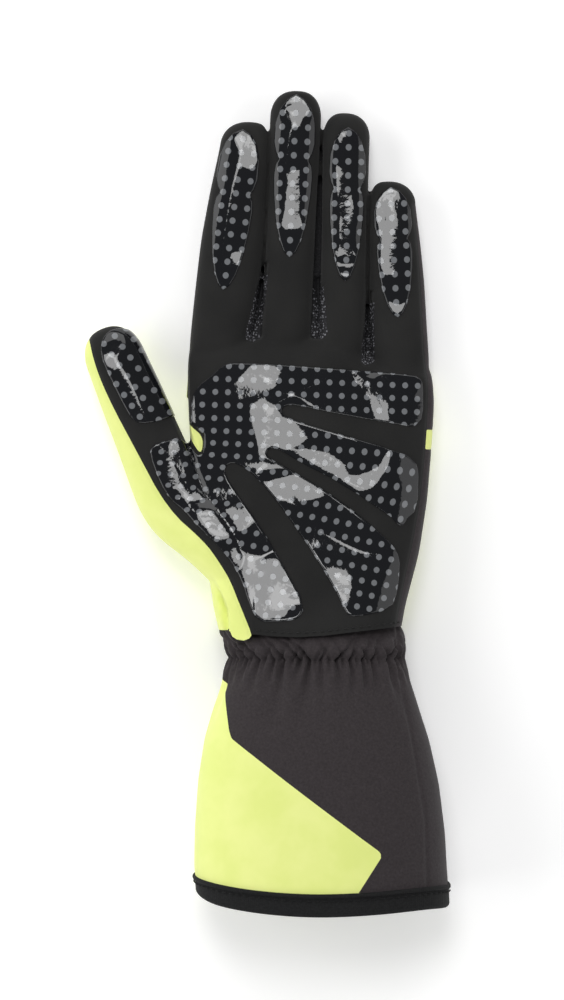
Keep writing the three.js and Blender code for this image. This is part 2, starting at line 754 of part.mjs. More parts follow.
// The back's cloth comes round to this seam on the little finger's side.
const CUFF_SIDE = [
  [-0.2, 0.63],
  [0.05, 0.66],
  [0.144, 0.69],
  [0.36, 0.76],
  [0.62, 0.84],
  [1.05, 0.86],
  [1.05, 1.5],
  [-0.2, 1.5],
].map(cuffPoint);
const CUFF_PIECES = [
  ["cuff_flash", (grow) => upright(CUFF_FLASH, grow)],
  [
    "cuff_back",
    (grow) =>
      upright(CUFF_SIDE, grow).add(lengthwise(-far, far).subtract(above(cuffSeam, grow))),
  ],
  ["cuff_front", () => lengthwise(-far, far)],
];
const cuffEnd = cuffLength - hemThickness - seamGap;
const cuffShell = cuff(0, -frillLength, cuffEnd).subtract(
  cuff(-cuffWall, -frillLength - clothWall, cuffEnd + clothWall, cuffSides),
);
const cuffPieces = pieces(cuffShell, CUFF_PIECES);

const hemStart = cuffLength - hemWidth;
const hemForm = (grow, from, to) => cuff(grow, from, to, cuffSides);
const hem = hemForm(seamGap + hemThickness, hemStart, cuffLength)
  .subtract(hemForm(seamGap, hemStart - clothWall, cuffEnd + seamGap))
  .add(hemForm(-cuffWall - seamGap, hemStart, cuffLength))
  .subtract(hemForm(-cuffWall - seamGap - hemThickness, hemStart - clothWall, cuffLength + clothWall));
const pipingStart = hemStart - seamGap - pipingWidth;
const piping = hemForm(seamGap + pipingThickness, pipingStart, hemStart - seamGap).subtract(
  hemForm(seamGap, pipingStart - clothWall, hemStart + clothWall),
);

// The glove

const glove = new THREE.Group();
function show(name, made, finish) {
  const data = made.getMesh();
  const geometry = new THREE.BufferGeometry();
  geometry.setAttribute("position", new THREE.BufferAttribute(data.vertProperties, 3));
  geometry.setIndex(new THREE.BufferAttribute(data.triVerts, 1));
  const mesh = new THREE.Mesh(geometry, finish);
  mesh.name = name;
  glove.add(mesh);
}
const finish = (color, roughness) => new THREE.MeshStandardMaterial({ color, roughness, metalness: 0 });
const suede = finish(0x252524, 0.92);
const brightCloth = finish(0xecf394, 0.85);
const darkCloth = finish(0x3a3436, 0.88);
const knit = finish(0x1d1e24, 0.95);
const gripGloss = finish(0x16181c, 0.18);
const binding = finish(0x202122, 0.9);
const HAND_FINISH = {
  fourchette_index_middle: knit,
  fourchette_middle_ring: knit,
  fourchette_ring_little: knit,
  side_flash: brightCloth,
  thumb_side: brightCloth,
  hand_back: brightCloth,
  palm_panel: suede,
};
handPieces.forEach((made, k) => {
  const name = HAND_PIECES[k][0];
  show(name, made, HAND_FINISH[name] ?? darkCloth);
});
FINGER_GRIPS.forEach((row) => show(`${row.finger.name}_grip`, grip(gripOutline(row)), gripGloss));
show("thumb_grip", grip(thumbGripOutline), gripGloss);
show("palm_grip", palmGrip, gripGloss);
cuffPieces.forEach((made, k) => {
  const name = CUFF_PIECES[k][0];
  show(name, made, name === "cuff_flash" ? brightCloth : darkCloth);
});
show("hem_binding", hem, binding);
show("hem_piping", piping, binding);

const box = new THREE.Box3().setFromObject(glove);
glove.position.set(-(box.min.x + box.max.x) / 2, -(box.min.y + box.max.y) / 2, -box.min.z);
export default glove;
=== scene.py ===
"""A left-hand karting glove lying on its back on a pale floor, seen straight from above.

Shapes are worked out in millimetres from the middle of the wrist, +X to the little finger and
+Y to the fingertips, and moved into the frame when they become meshes.
"""

import json
import math

import bpy
import numpy as np
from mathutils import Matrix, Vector


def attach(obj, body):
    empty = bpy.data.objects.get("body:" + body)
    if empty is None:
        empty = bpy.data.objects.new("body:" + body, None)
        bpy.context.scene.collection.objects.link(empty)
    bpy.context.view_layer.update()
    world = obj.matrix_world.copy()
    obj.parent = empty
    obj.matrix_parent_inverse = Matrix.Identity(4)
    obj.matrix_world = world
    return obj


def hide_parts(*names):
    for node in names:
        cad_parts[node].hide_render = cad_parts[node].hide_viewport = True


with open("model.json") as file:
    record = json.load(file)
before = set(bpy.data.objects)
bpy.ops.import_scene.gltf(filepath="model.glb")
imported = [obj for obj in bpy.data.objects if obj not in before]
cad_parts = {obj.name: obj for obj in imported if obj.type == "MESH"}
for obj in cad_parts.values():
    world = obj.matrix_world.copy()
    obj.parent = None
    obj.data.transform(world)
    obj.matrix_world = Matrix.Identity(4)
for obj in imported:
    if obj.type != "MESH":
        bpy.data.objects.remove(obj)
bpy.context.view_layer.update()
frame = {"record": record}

MM = 0.001
WRIST = np.array([17.84, -59.251, 0.0])  # the middle of the wrist in the frame
CAMERA = (0.0057, -0.002, 1.118)  # places in metres, as are those of the lights
LENS, SENSOR, PICTURE = 110.9, 36, (564, 1000)
KEY, KEY_SIZE = (-0.15, 0.85, 1.9), (0.7, 0.75)
rng = np.random.default_rng(7)

# Sizes
CLOTH = 1.6
PALM_LENGTH, PALM_DEPTH, WRIST_DEPTH = 115.0, 30.0, 42.0
PALM_SHIFT, PALM_CUP, CUP_WIDTH = -2.2, 2.2, 0.45
PALM_SLACK = 2.4
FINGER_DEPTH = 17.5
CROTCH_DROP = 8.5
THUMB_LENGTH, THUMB_WIDTH, THUMB_DEPTH, THUMB_ANGLE = 69.0, 22.5, 21.0, 22.8
CUFF_LENGTH, CUFF_WIDTH, CUFF_DEPTH, CUFF_SHIFT = 86.3, 90.0, 60.0, 1.6
FRILL, FRILL_LIFT, HEM_WIDTH, HEM_LIFT = 8.6, 2.2, 7.0, 0.7
VOXEL = 0.6


# Tables, read between their rows


def column(rows, key, at, soften=0.0):
    """A table's column at some shares, rounded off over a width of shares."""
    xs = np.array([r["at"] for r in rows], float)
    ys = np.array([r[key] for r in rows], float)
    if xs[0] > xs[-1]:
        xs, ys = xs[::-1], ys[::-1]
    if soften <= 0:
        return np.interp(at, xs, ys)
    spread = np.linspace(-2, 2, 17)
    weight = np.exp(-(spread**2))
    weight /= weight.sum()
    return sum(w * np.interp(at + s * soften, xs, ys) for w, s in zip(weight, spread))


def ramp(v, low, high):
    t = np.clip((v - low) / (high - low), 0, 1)
    return t * t * (3 - 2 * t)


def bell(v, wide):
    return np.exp(-((v / wide) ** 2))


def table(keys, *rows):
    """Rows of values, each value under its key."""
    return [dict(zip(keys.split(), r)) for r in rows]


def named(keys, **rows):
    """The same, with a name for each row."""
    return {name: dict(zip(keys.split(), r)) for name, r in rows.items()}


FINGERS = named(
    "width length gap belly tip end slant",
    index=(22.0, 78.5, 3.7, 1.04, 0.79, -24.5, 0.35),
    middle=(17.6, 89.5, 3.1, 1.01, 1.05, -6.8, 0.05),
    ring=(16.6, 81.5, 2.3, 0.98, 1.02, 11.2, -0.12),
    little=(20.8, 65.5, 0.0, 0.97, 0.8, 27.2, -0.3),
)
FINGER_ROWS = table(
    "at swell taper depth lift",
    (-0.32, 0, 0.6, 0.8, 0.8),
    (0, 0, 0, 1, 0),
    (0.25, 0.7, 0, 0.98, 0),
    (0.5, 1, 0, 0.95, 0.1),
    (0.75, 1, 0.4, 0.88, 0.5),
    (1, 1, 1, 0.78, 1),
)
THENAR_ROWS = table(
    "x y z width depth seam",
    (-0.15, 0.1, 0.6, 1.0, 1.2, -0.9),
    (-0.46, 0.25, 0.62, 1.0, 1.33, -0.5),
    (-0.79, 0.38, 0.6, 1.02, 1.3, -0.24),
    (-1.085, 0.48, 0.5, 1.16, 1.13, -0.22),
)
THUMB_ROWS = table(
    "at width depth seam",
    (0.36, 1.05, 1.04, -0.47),
    (0.62, 1, 0.96, -0.66),
    (0.82, 0.94, 0.88, -0.72),
)
TOP = WRIST_DEPTH / PALM_DEPTH
PALM_ROWS = table(
    "at left right top bottom cup drop",
    (-0.04, 0.69, 0.69, TOP, 0.03, 0, 0),
    (0.06, 0.71, 0.712, TOP * 0.98, 0.02, 0.1, 0),
    (0.12, 0.75, 0.744, TOP * 0.94, 0.01, 0.3, 0),
    (0.17, 0.78, 0.767, TOP * 0.9, 0, 0.5, 0),
    (0.33, 0.84, 0.88, TOP * 0.81, -0.02, 0.9, 0),
    (0.5, 0.91, 0.95, 1.03, -0.03, 1, 0),
    (0.68, 0.97, 0.99, 0.94, -0.03, 0.7, 0),
    (0.85, 0.99, 1.01, 0.82, -0.02, 0.2, 0.6),
    (0.94, 0.99, 1, 0.7, 0, 0, 0.9),
    (0.985, 0.97, 0.98, 0.57, 0.06, 0, 1),
    (1, 0.93, 0.94, 0.45, 0.15, 0, 1),
)
FRILL_ROWS = table(
    "at width depth hem lift",
    (1.7, 0.68, 0.57, 0, 0),
    (1.35, 0.733, 0.6, 0, 0),
    (1.0, 0.733, 0.65, 0, 0),
    (0.7, 0.716, 0.69, 0, 0),
    (0.35, 0.702, 0.69, 0, 0),
    (0.12, 0.706, 0.675, 0, 0),
)
CUFF_ROWS = table(
    "at width depth hem lift",
    (0.0, 0.705, 0.685, 0, 0),
    (0.03, 0.72, 0.7, 0, 0),
    (0.07, 0.745, 0.735, 0, 0),
    (0.15, 0.79, 0.785, 0, 0),
    (0.32, 0.885, 0.86, 0.1, 0.2),
    (0.5, 0.945, 0.92, 0.5, 0.6),
    (0.7, 0.98, 0.97, 0.8, 1),
    (0.88, 0.993, 0.99, 0.95, 1),
    (1, 0.98, 1, 1, 1),
)

# Fingers, thumb and palm as closed forms

ROW_WIDTH = sum(f["width"] + f["gap"] for f in FINGERS.values())
HALF_PALM = (ROW_WIDTH + PALM_SLACK) / 2
TIP_ROUND = 0.52  # how much of a finger's length its round end takes, in widths of its tip
edge = PALM_SHIFT - ROW_WIDTH / 2
for name, f in FINGERS.items():
    drop = CROTCH_DROP if name == "little" else 0
    f["root"] = np.array([edge + f["width"] / 2, PALM_LENGTH - drop])
    f["end"] = np.array([f["end"], f["root"][1] + f["length"]])
    f["span"] = (f["length"] - TIP_ROUND * f["width"] * f["tip"]) / f["length"]
    edge += f["width"] + f["gap"]


def drop_at(x):
    little, ring = FINGERS["little"], FINGERS["ring"]
    return CROTCH_DROP * ramp(x, ring["root"][0], little["root"][0] - little["width"] / 2)


def palm_point(across, along):
    return [PALM_SHIFT + across * HALF_PALM, along * PALM_LENGTH]


def palm_points(places):
    return [palm_point(*at) for at in places]


def superellipse(sides, power):
    turn = 2 * math.pi * (np.arange(sides) + 0.5) / sides
    c, s = np.cos(turn), np.sin(turn)
    return np.sign(c) * np.abs(c) ** (2 / power), np.sign(s) * np.abs(s) ** (2 / power)


def quads(count, sides):
    """Triangles between rings that close round."""
    k, i = np.meshgrid(np.arange(count - 1), np.arange(sides), indexing="ij")
    j = (i + 1) % sides
    a, b = k * sides + i, k * sides + j
    c, d = (k + 1) * sides + j, (k + 1) * sides + i
    return np.concatenate([np.stack([a, b, c], -1).reshape(-1, 3), np.stack([a, c, d], -1).reshape(-1, 3)])


def closed(rings):
    """Points and triangles of a solid through rings of equally many points."""
    count, sides = len(rings), len(rings[0])
    faces = [quads(count, sides)]
    i = np.arange(sides // 2 - 1)
    for start, flip in ((0, True), ((count - 1) * sides, False)):
        a, b, c, d = start + i, start + i + 1, start + sides - 2 - i, start + sides - 1 - i
        ends = np.concatenate([np.stack([a, b, c], -1), np.stack([a, c, d], -1)])
        faces.append(ends[:, ::-1] if flip else ends)
    return np.concatenate(rings), np.concatenate(faces)


def tube(centres, half_widths, half_depths, tip, sides, power, rings=14, slant=0.0):
    """A tube along centres in plan with a round closed end at tip, blunter on the side it slants to."""
    turn = np.linspace(0, math.pi / 2 * 0.985, rings)[1:]
    left = np.cos(turn) ** 0.8
    last = centres[-1]
    push = np.concatenate([np.zeros(len(centres)), slant * half_widths[-1] * (1 - left)])
    centres = np.concatenate([centres, last + (tip - last) * np.sin(turn)[:, None]])
    half_widths = np.concatenate([half_widths, half_widths[-1] * left])
    half_depths = np.concatenate([half_depths, half_depths[-1] * left])
    way = np.gradient(centres[:, :2], axis=0)
    way /= np.linalg.norm(way, axis=1)[:, None]
    u, v = superellipse(sides, power)
    out = []
    for centre, w, d, t, aside in zip(centres, half_widths, half_depths, way, push):
        ring = np.zeros((sides, 3))
        ring[:, 0] = centre[0] + t[1] * (u * w + aside)
        ring[:, 1] = centre[1] - t[0] * (u * w + aside)
        ring[:, 2] = centre[2] + v * d
        out.append(ring)
    return closed(out)


def finger_width(f, share, soften=0.06):
    """A finger's width at shares of its length."""
    belly = 1 + (f["belly"] - 1) * column(FINGER_ROWS, "swell", share, soften)
    return f["width"] * (belly + (f["tip"] - belly) * column(FINGER_ROWS, "taper", share, soften))


def finger_form(f):
    share = np.linspace(-0.32, 1, 50)
    depth = FINGER_DEPTH * column(FINGER_ROWS, "depth", share, 0.06) / 2
    lift = 0.1 * FINGER_DEPTH * column(FINGER_ROWS, "lift", share, 0.06)
    plan = f["root"] + (f["end"] - f["root"]) * (share * f["span"])[:, None]
    centres = np.column_stack([plan, depth + lift])
    tip = np.array([*f["end"], centres[-1][2]])
    half = finger_width(f, share) / 2
    return tube(centres, half, depth, tip, sides=44, power=2.5, slant=f["slant"])


def finger_half(f, y):
    """A finger's middle and half width at a place along the glove."""
    share = np.clip((y - f["root"][1]) / (f["end"][1] - f["root"][1]) / f["span"], 0, 1)
    middle = f["root"][0] + (f["end"][0] - f["root"][0]) * share * f["span"]
    return middle, finger_width(f, share) / 2


# Between two fingers their side strips touch: how high, at distances up from the crotch, and how far up
WEB_ROWS = table("at top", (-8, 11.5), (0, 11), (6, 9.5), (16, 8), (24, 4.5), (70, 3))
WEBS = [("index", "middle", 70.0), ("middle", "ring", 72.0), ("ring", "little", 54.0)]
WEB_OVERLAP = 1.3  # into the fingers on both sides


def web_form(left, right, reach):
    left, right = FINGERS[left], FINGERS[right]
    foot = PALM_LENGTH - drop_at(left["root"][0] + left["width"] / 2 + 1)
    up = np.linspace(-8, reach, 40)
    a, half_a = finger_half(left, foot + up)
    b, half_b = finger_half(right, foot + up)
    low, high = a + half_a, b - half_b
    top = column(WEB_ROWS, "top", up, 3)
    centres = np.column_stack([(low + high) / 2, foot + up, top / 2])
    tip = centres[-1] + np.array([0, 2, 0])
    half = np.maximum(high - low, 0) / 2 + WEB_OVERLAP
    return tube(centres, half, top / 2, tip, sides=24, power=2.2, rings=5)


LEAN = math.radians(THUMB_ANGLE)
THUMB_ROOT = np.array([PALM_SHIFT - 1.08 * HALF_PALM, 0.48 * PALM_LENGTH, 0.5 * PALM_DEPTH])
thumb_plan = THUMB_ROOT[:2] + THUMB_LENGTH * np.array([-math.sin(LEAN), math.cos(LEAN)])
THUMB_TIP = np.array([*thumb_plan, 0.38 * PALM_DEPTH])
THUMB_OUT = (THUMB_TIP - THUMB_ROOT)[:2] / np.linalg.norm((THUMB_TIP - THUMB_ROOT)[:2])
THUMB_ACROSS = np.array([THUMB_OUT[1], -THUMB_OUT[0]])
THUMB_CENTRES = np.array(
    [[*palm_point(r["x"], r["y"]), r["z"] * PALM_DEPTH] for r in THENAR_ROWS]
    + [THUMB_ROOT + (THUMB_TIP - THUMB_ROOT) * r["at"] for r in THUMB_ROWS]
)
THUMB_SIZES = [
    (THUMB_WIDTH * r["width"] / 2, THUMB_DEPTH * r["depth"] / 2, r["seam"]) for r in THENAR_ROWS + THUMB_ROWS
]


def dense(values, count):
    """A smooth curve of count rows through rows of values."""
    at = np.linspace(0, len(values) - 1, count)
    soft = np.linspace(-1, 1, 9)
    weight = np.exp(-2 * soft**2)
    weight /= weight.sum()
    rows = np.arange(len(values))
    out = np.column_stack(
        [sum(w * np.interp(at + 0.5 * s, rows, v) for w, s in zip(weight, soft)) for v in values.T]
    )
    out[0], out[-1] = values[0], values[-1]
    return out


def thumb_form():
    rows = dense(np.column_stack([THUMB_CENTRES, [s[:2] for s in THUMB_SIZES]]), 60)
    return tube(rows[:, :3], rows[:, 3], rows[:, 4], THUMB_TIP, sides=44, power=2.4)


def palm_form():
    share = np.concatenate([np.linspace(-0.04, 0.94, 60), np.linspace(0.95, 1, 8)])
    keys = [k for k in PALM_ROWS[0] if k != "at"]
    read = {k: column(PALM_ROWS, k, share, 0.0 if k == "drop" else 0.03) for k in keys}
    u, v = superellipse(110, 2.8)
    rings = []
    for k, at in enumerate(share):
        left = PALM_SHIFT - read["left"][k] * HALF_PALM
        right = PALM_SHIFT + read["right"][k] * HALF_PALM
        low, high = read["bottom"][k] * PALM_DEPTH, read["top"][k] * PALM_DEPTH
        x = (left + right) / 2 + u * (right - left) / 2
        z = (low + high) / 2 + v * (high - low) / 2
        hollow = np.exp(-((u * (right - left) / 2 / (CUP_WIDTH * HALF_PALM)) ** 2))
        z = z - np.where(v > 0, PALM_CUP * read["cup"][k] * hollow, 0)
        y = at * PALM_LENGTH - drop_at(x) * read["drop"][k]
        rings.append(np.column_stack([x, y, np.maximum(z, 0)]))
    return closed(rings)


# Meshes as arrays of points and triangles


def object_from(points, faces, name):
    mesh = bpy.data.meshes.new(name)
    mesh.from_pydata(((points + WRIST) * MM).tolist(), [], faces.tolist())
    mesh.validate()
    mesh.polygons.foreach_set("use_smooth", np.ones(len(mesh.polygons), bool))
    thing = bpy.data.objects.new(name, mesh)
    bpy.context.scene.collection.objects.link(thing)
    return thing


def arrays_of(mesh):
    """A mesh's points in local millimetres and its triangles."""
    points = np.zeros(len(mesh.vertices) * 3)
    mesh.vertices.foreach_get("co", points)
    mesh.calc_loop_triangles()
    faces = np.zeros(len(mesh.loop_triangles) * 3, np.int64)
    mesh.loop_triangles.foreach_get("vertices", faces)
    return points.reshape(-1, 3) / MM - WRIST, faces.reshape(-1, 3)


def joined(forms):
    points, faces, start = [], [], 0
    for p, f in forms:
        points.append(p)
        faces.append(f + start)
        start += len(p)
    return np.concatenate(points), np.concatenate(faces)


def fused(points, faces, voxel):
    """One skin round overlapping closed forms."""
    thing = object_from(points, faces, "fusing")
    remesh = thing.modifiers.new("fuse", "REMESH")
    remesh.mode = "VOXEL"
    remesh.voxel_size = voxel * MM
    made = bpy.data.meshes.new_from_object(thing.evaluated_get(bpy.context.evaluated_depsgraph_get()))
    out = arrays_of(made)
    bpy.data.objects.remove(thing)
    bpy.data.meshes.remove(made)
    return out


def edges_of(faces):
    """Every edge once, and which of them are each triangle's sides."""
    pairs = np.concatenate([faces[:, [0, 1]], faces[:, [1, 2]], faces[:, [2, 0]]])
    edges, where = np.unique(np.sort(pairs, axis=1), axis=0, return_inverse=True)
    return edges, where.reshape(3, -1)


def smoothed(points, faces, rounds, keep=None, shrink=0.0):
    """Points moved toward their neighbours' middle; keep is how much of that each one skips."""
    a, b = edges_of(faces)[0].T
    count = np.maximum(np.bincount(np.concatenate([a, b]), minlength=len(points))[:, None], 1)
    move = 1.0 if keep is None else (1 - keep)[:, None]
    for _ in range(rounds):
        for push in (0.5, -0.53 * (1 - shrink)):
            total = [
                np.bincount(a, points[b, c], len(points)) + np.bincount(b, points[a, c], len(points))
                for c in range(3)
            ]
            points = points + push * move * (np.column_stack(total) / count - points)
    return points


def normals_of(points, faces):
    p, q, r = (points[faces[:, k]] for k in range(3))
    flat = np.cross(q - p, r - p)
    out = np.column_stack(
        [sum(np.bincount(faces[:, k], flat[:, c], len(points)) for k in range(3)) for c in range(3)]
    )
    return out / np.maximum(np.linalg.norm(out, axis=1)[:, None], 1e-12)


def inside(at, outline):
    """How far inside an outline points in a plane lie; negative outside of it."""
    a = np.asarray(outline, float)
    b = np.roll(a, -1, axis=0)
    best = np.full(len(at), np.inf)
    odd = np.zeros(len(at), bool)
    for p, q in zip(a, b):
        way = q - p
        t = np.clip(((at - p) @ way) / max(way @ way, 1e-12), 0, 1)
        best = np.minimum(best, np.hypot(*(at - p - t[:, None] * way).T))
        crosses = (p[1] > at[:, 1]) != (q[1] > at[:, 1])
        with np.errstate(divide="ignore", invalid="ignore"):
            x = p[0] + (at[:, 1] - p[1]) * way[0] / way[1]
        odd ^= crosses & (at[:, 0] < x)
    return np.where(odd, best, -best)


def cut(points, faces, field, extras=()):
    """Splits triangles along field = 0; gives the points, the faces within, those without, and the
    extra values carried along."""
    field = np.where(np.abs(field) < 1e-6, 1e-6, field)
    side = field > 0
    within = side[faces]
    total = within.sum(axis=1)
    mixed = faces[(total > 0) & (total < 3)]
    if len(mixed) == 0:
        return points, faces[total == 3], faces[total == 0], list(extras)
    signs = side[mixed]
    lone = np.where(signs.sum(axis=1) == 1, signs.argmax(axis=1), (~signs).argmax(axis=1))
    rows = np.arange(len(mixed))
    m = np.column_stack([mixed[rows, (lone + k) % 3] for k in range(3)])
    pairs = np.concatenate([m[:, [0, 1]], m[:, [0, 2]]])
    keys, where = np.unique(np.sort(pairs, axis=1), axis=0, return_inverse=True)
    where = where.reshape(-1)
    a, b = keys[:, 0], keys[:, 1]
    t = field[a] / (field[a] - field[b])

    def between(values):
        t_ = t if values.ndim == 1 else t[:, None]
        return values[a] + (values[b] - values[a]) * t_

    start = len(points)
    new = [np.concatenate([v, between(v)]) for v in (points, *extras)]
    p01, p02 = start + where[: len(m)], start + where[len(m) :]
    alone = np.column_stack([m[:, 0], p01, p02])
    others = np.concatenate([np.column_stack([p01, m[:, 1], m[:, 2]]), np.column_stack([p01, m[:, 2], p02])])
    lone_in = side[m[:, 0]]
    others_in = np.concatenate([~lone_in, ~lone_in])
    inner = np.concatenate([faces[total == 3], alone[lone_in], others[others_in]])
    outer = np.concatenate([faces[total == 0], alone[~lone_in], others[~others_in]])
    return new[0], inner, outer, new[1:]


def compact(points, faces):
    """The same triangles with only the points that they use."""
    used, back = np.unique(faces, return_inverse=True)
    return points[used], back.reshape(faces.shape)


# Seams and zones of the hand, as fields that are positive within

HAND_SEAM = table("at z", (-0.5, 0.68), (0, 0.62), (0.5, 0.44), (0.9, 0.3), (1.3, 0.28), (2, 0.27))
# Knit between two fingers: its middle line from the crotch up, and its width at both ends
FOURCHETTES = named(
    "foot top lean width narrow",
    fourchette_index_middle=((-22.9, 114.2), (-18.6, 138.0), 0.0, 5.2, 2.6),
    fourchette_middle_ring=((1.3, 115.2), (1.0, 134.0), 0.02, 5.6, 3.0),
    fourchette_ring_little=((18.4, 105.8), (19.6, 128.0), 0.0, 4.9, 2.2),
)
STRIP_FINGER = table("at inset", (1, 0.25), (0.7, 0.4), (0.35, 0.6), (0, 0.7))
STRIP_PALM = table("at inset", (0.85, 0.75), (0.5, 0.9), (0.17, 1), (0, 1))
STRIP_WIDTH, STRIP_DEPTH = 2.2, 8.0
FLASH_AT, FLASH_LENGTH = 0.655, 7.0
# Lines and outlines on the palm, as shares of its half width and of its length
SEAM_FOOT = [(-0.735, 0.311), (-0.635, 0.246), (-0.565, 0.185), (-0.515, 0.137), (-0.465, 0.088)]
SEAM_FOOT += [(-0.45, 0.04)]
FLAP_EDGE = [(-0.52, 0.05), (-0.65, 0.085), (-0.72, 0.16), (-0.85, 0.235), (-1.5, 0.25)]
FLAP_LAYER = [(-0.8, 0.27), (-0.735, 0.235), (-0.68, 0.195), (-0.645, 0.16), (-0.635, 0.12), (-0.63, 0.05)]
THUMB_UNDER = [(-1.3, 1.25), (-1, 0.69), (-0.8, 0.45), (-0.62, 0.25), (-3, 0.25), (-3, 1.25)]
THUMB_CROTCH = [(-1, 0.745), (-0.96, 0.725), (-0.866, 0.695), (-0.87, 0.65), (-0.9, 0.645), (-0.97, 0.69)]
KNUCKLE_INSET = 14.0
DIP, DIP_AT, DIP_WIDTH = 9, (-48, 74), (5, 8)  # of the seam at the thumb's crotch


def seam_height(y):
    return column(HAND_SEAM, "z", y / PALM_LENGTH, 0.04) * PALM_DEPTH


def rounded(points, rounds=2):
    """An open line with its corners cut smooth."""
    points = np.asarray(points, float)
    for _ in range(rounds):
        a, b = points[:-1], points[1:]
        mid = np.stack([0.75 * a + 0.25 * b, 0.25 * a + 0.75 * b], 1).reshape(-1, 2)
        points = np.concatenate([points[:1], mid, points[-1:]])
    return points


def loop_rounded(points, rounds=2):
    points = np.asarray(points, float)
    for _ in range(rounds):
        after = np.roll(points, -1, axis=0)
        points = np.stack([0.75 * points + 0.25 * after, 0.25 * points + 0.75 * after], 1).reshape(-1, 2)
    return points


def strip_edge():
    """The side strip's edge on the palm's side, from the little finger's tip to the wrist."""
    little = FINGERS["little"]
    out = []
    for r in STRIP_FINGER:
        x, y = little["root"] + (little["end"] - little["root"]) * r["at"] * little["span"]
        half = finger_width(little, np.array([r["at"]]), soften=0)[0] / 2
        out.append([x + half - r["inset"] * STRIP_WIDTH, y])
    for r in STRIP_PALM:
        x, y = palm_point(column(PALM_ROWS, "right", np.array([r["at"]]))[0], r["at"])
        out.append([x - r["inset"] * STRIP_WIDTH, y])
    return rounded(out)


STRIP = strip_edge()
PAST_TIP = THUMB_TIP[:2] - 5.2 * THUMB_ACROSS + 2 * THUMB_OUT
thumb_seam = [c[:2] + THUMB_ACROSS * s[0] * s[2] for c, s in zip(THUMB_CENTRES[2:], THUMB_SIZES[2:])]
THUMB_SEAM = rounded([PAST_TIP, *thumb_seam[::-1], *palm_points(SEAM_FOOT)])
FAR = 400.0
FLAP = palm_points(FLAP_EDGE)


def hand_fields(p):
    """Each zone's field at some points."""
    xy, (x, y, z) = p[:, :2], p.T
    far_x, far_y = ((xy[:, k] - DIP_AT[k]) / DIP_WIDTH[k] for k in (0, 1))
    above = z - seam_height(y) + DIP * np.exp(-(far_x**2) - far_y**2)
    fields = {}
    for name, f in FOURCHETTES.items():
        (foot_x, foot_y), (top_x, top_y) = f["foot"], f["top"]
        t = (y - foot_y) / (top_y - foot_y)
        half = (f["width"] + (f["narrow"] - f["width"]) * np.clip(t, 0, 1)) / 2
        below = np.maximum(foot_y + half - y, 0)
        within = half - np.hypot(x - (foot_x + (top_x - foot_x) * t), below)
        knit = np.minimum(np.minimum(within, top_y - y), z - 4)
        # The knit also fills the deep gap between the fingers: knit really lies there, and the knit's painted
        # shade darkens the gap where shade falls
        gap_x = top_x + f["lean"] * np.maximum(y - top_y, 0)
        gap = np.minimum(2.6 - np.abs(x - gap_x), 8.5 - z)
        fields[name] = np.maximum(knit, np.minimum(np.minimum(gap, z - 1), y - foot_y - 4))
    outline = [*STRIP, [FAR, STRIP[-1][1]], [FAR, STRIP[0][1]]]
    strip = np.minimum(inside(xy, outline), above + STRIP_DEPTH)
    flash = FLASH_AT * PALM_LENGTH
    fields["side_flash"] = np.minimum(strip, np.minimum(y - flash, flash + FLASH_LENGTH - y))
    fields["side_strip_upper"] = np.minimum(strip, y - flash)
    fields["side_strip_lower"] = np.minimum(strip, flash + FLASH_LENGTH - y)
    side = inside(xy, [*THUMB_SEAM, *FLAP, [-FAR, FLAP[-1][1]], [-FAR, PAST_TIP[1]]])
    under = inside(xy, palm_points(THUMB_UNDER))
    fields["thumb_side"] = np.maximum(np.minimum(side, above + 0.01), np.minimum(under, -above))
    flap_side = inside(xy, [*FLAP, palm_point(-1.5, 0), palm_point(-0.54, 0)])
    crotch = inside(xy, loop_rounded(palm_points(THUMB_CROTCH)))
    back = np.minimum(PALM_LENGTH - KNUCKLE_INSET - y, -above)
    fields["hand_back"] = np.maximum(np.maximum(back, flap_side), crotch)
    fields["palm_panel"] = above
    return fields


# The skin of the hand

fingers, webs = [finger_form(f) for f in FINGERS.values()], [web_form(*w) for w in WEBS]
hand_points, hand_faces = fused(*joined([palm_form(), thumb_form(), *fingers, *webs]), VOXEL)
blend = ramp(hand_points[:, 1], 84, 96) * (1 - ramp(hand_points[:, 1], 118, 126))
blend *= ramp(hand_points[:, 2], 9, 12)
hand_points = smoothed(hand_points, hand_faces, 6)
hand_points = smoothed(hand_points, hand_faces, 14, keep=1 - blend, shrink=0.9)
hand_points[:, 2] = np.maximum(hand_points[:, 2], 0.0)


def seen(p):
    """Where points of the glove lie in the picture, in pixels."""
    q = (p + WRIST) * MM
    scale = LENS / SENSOR * PICTURE[1] / (CAMERA[2] - q[:, 2])
    across, up = (q[:, k] - CAMERA[k] for k in (0, 1))
    return np.column_stack([PICTURE[0] / 2 + across * scale, PICTURE[1] / 2 - up * scale])


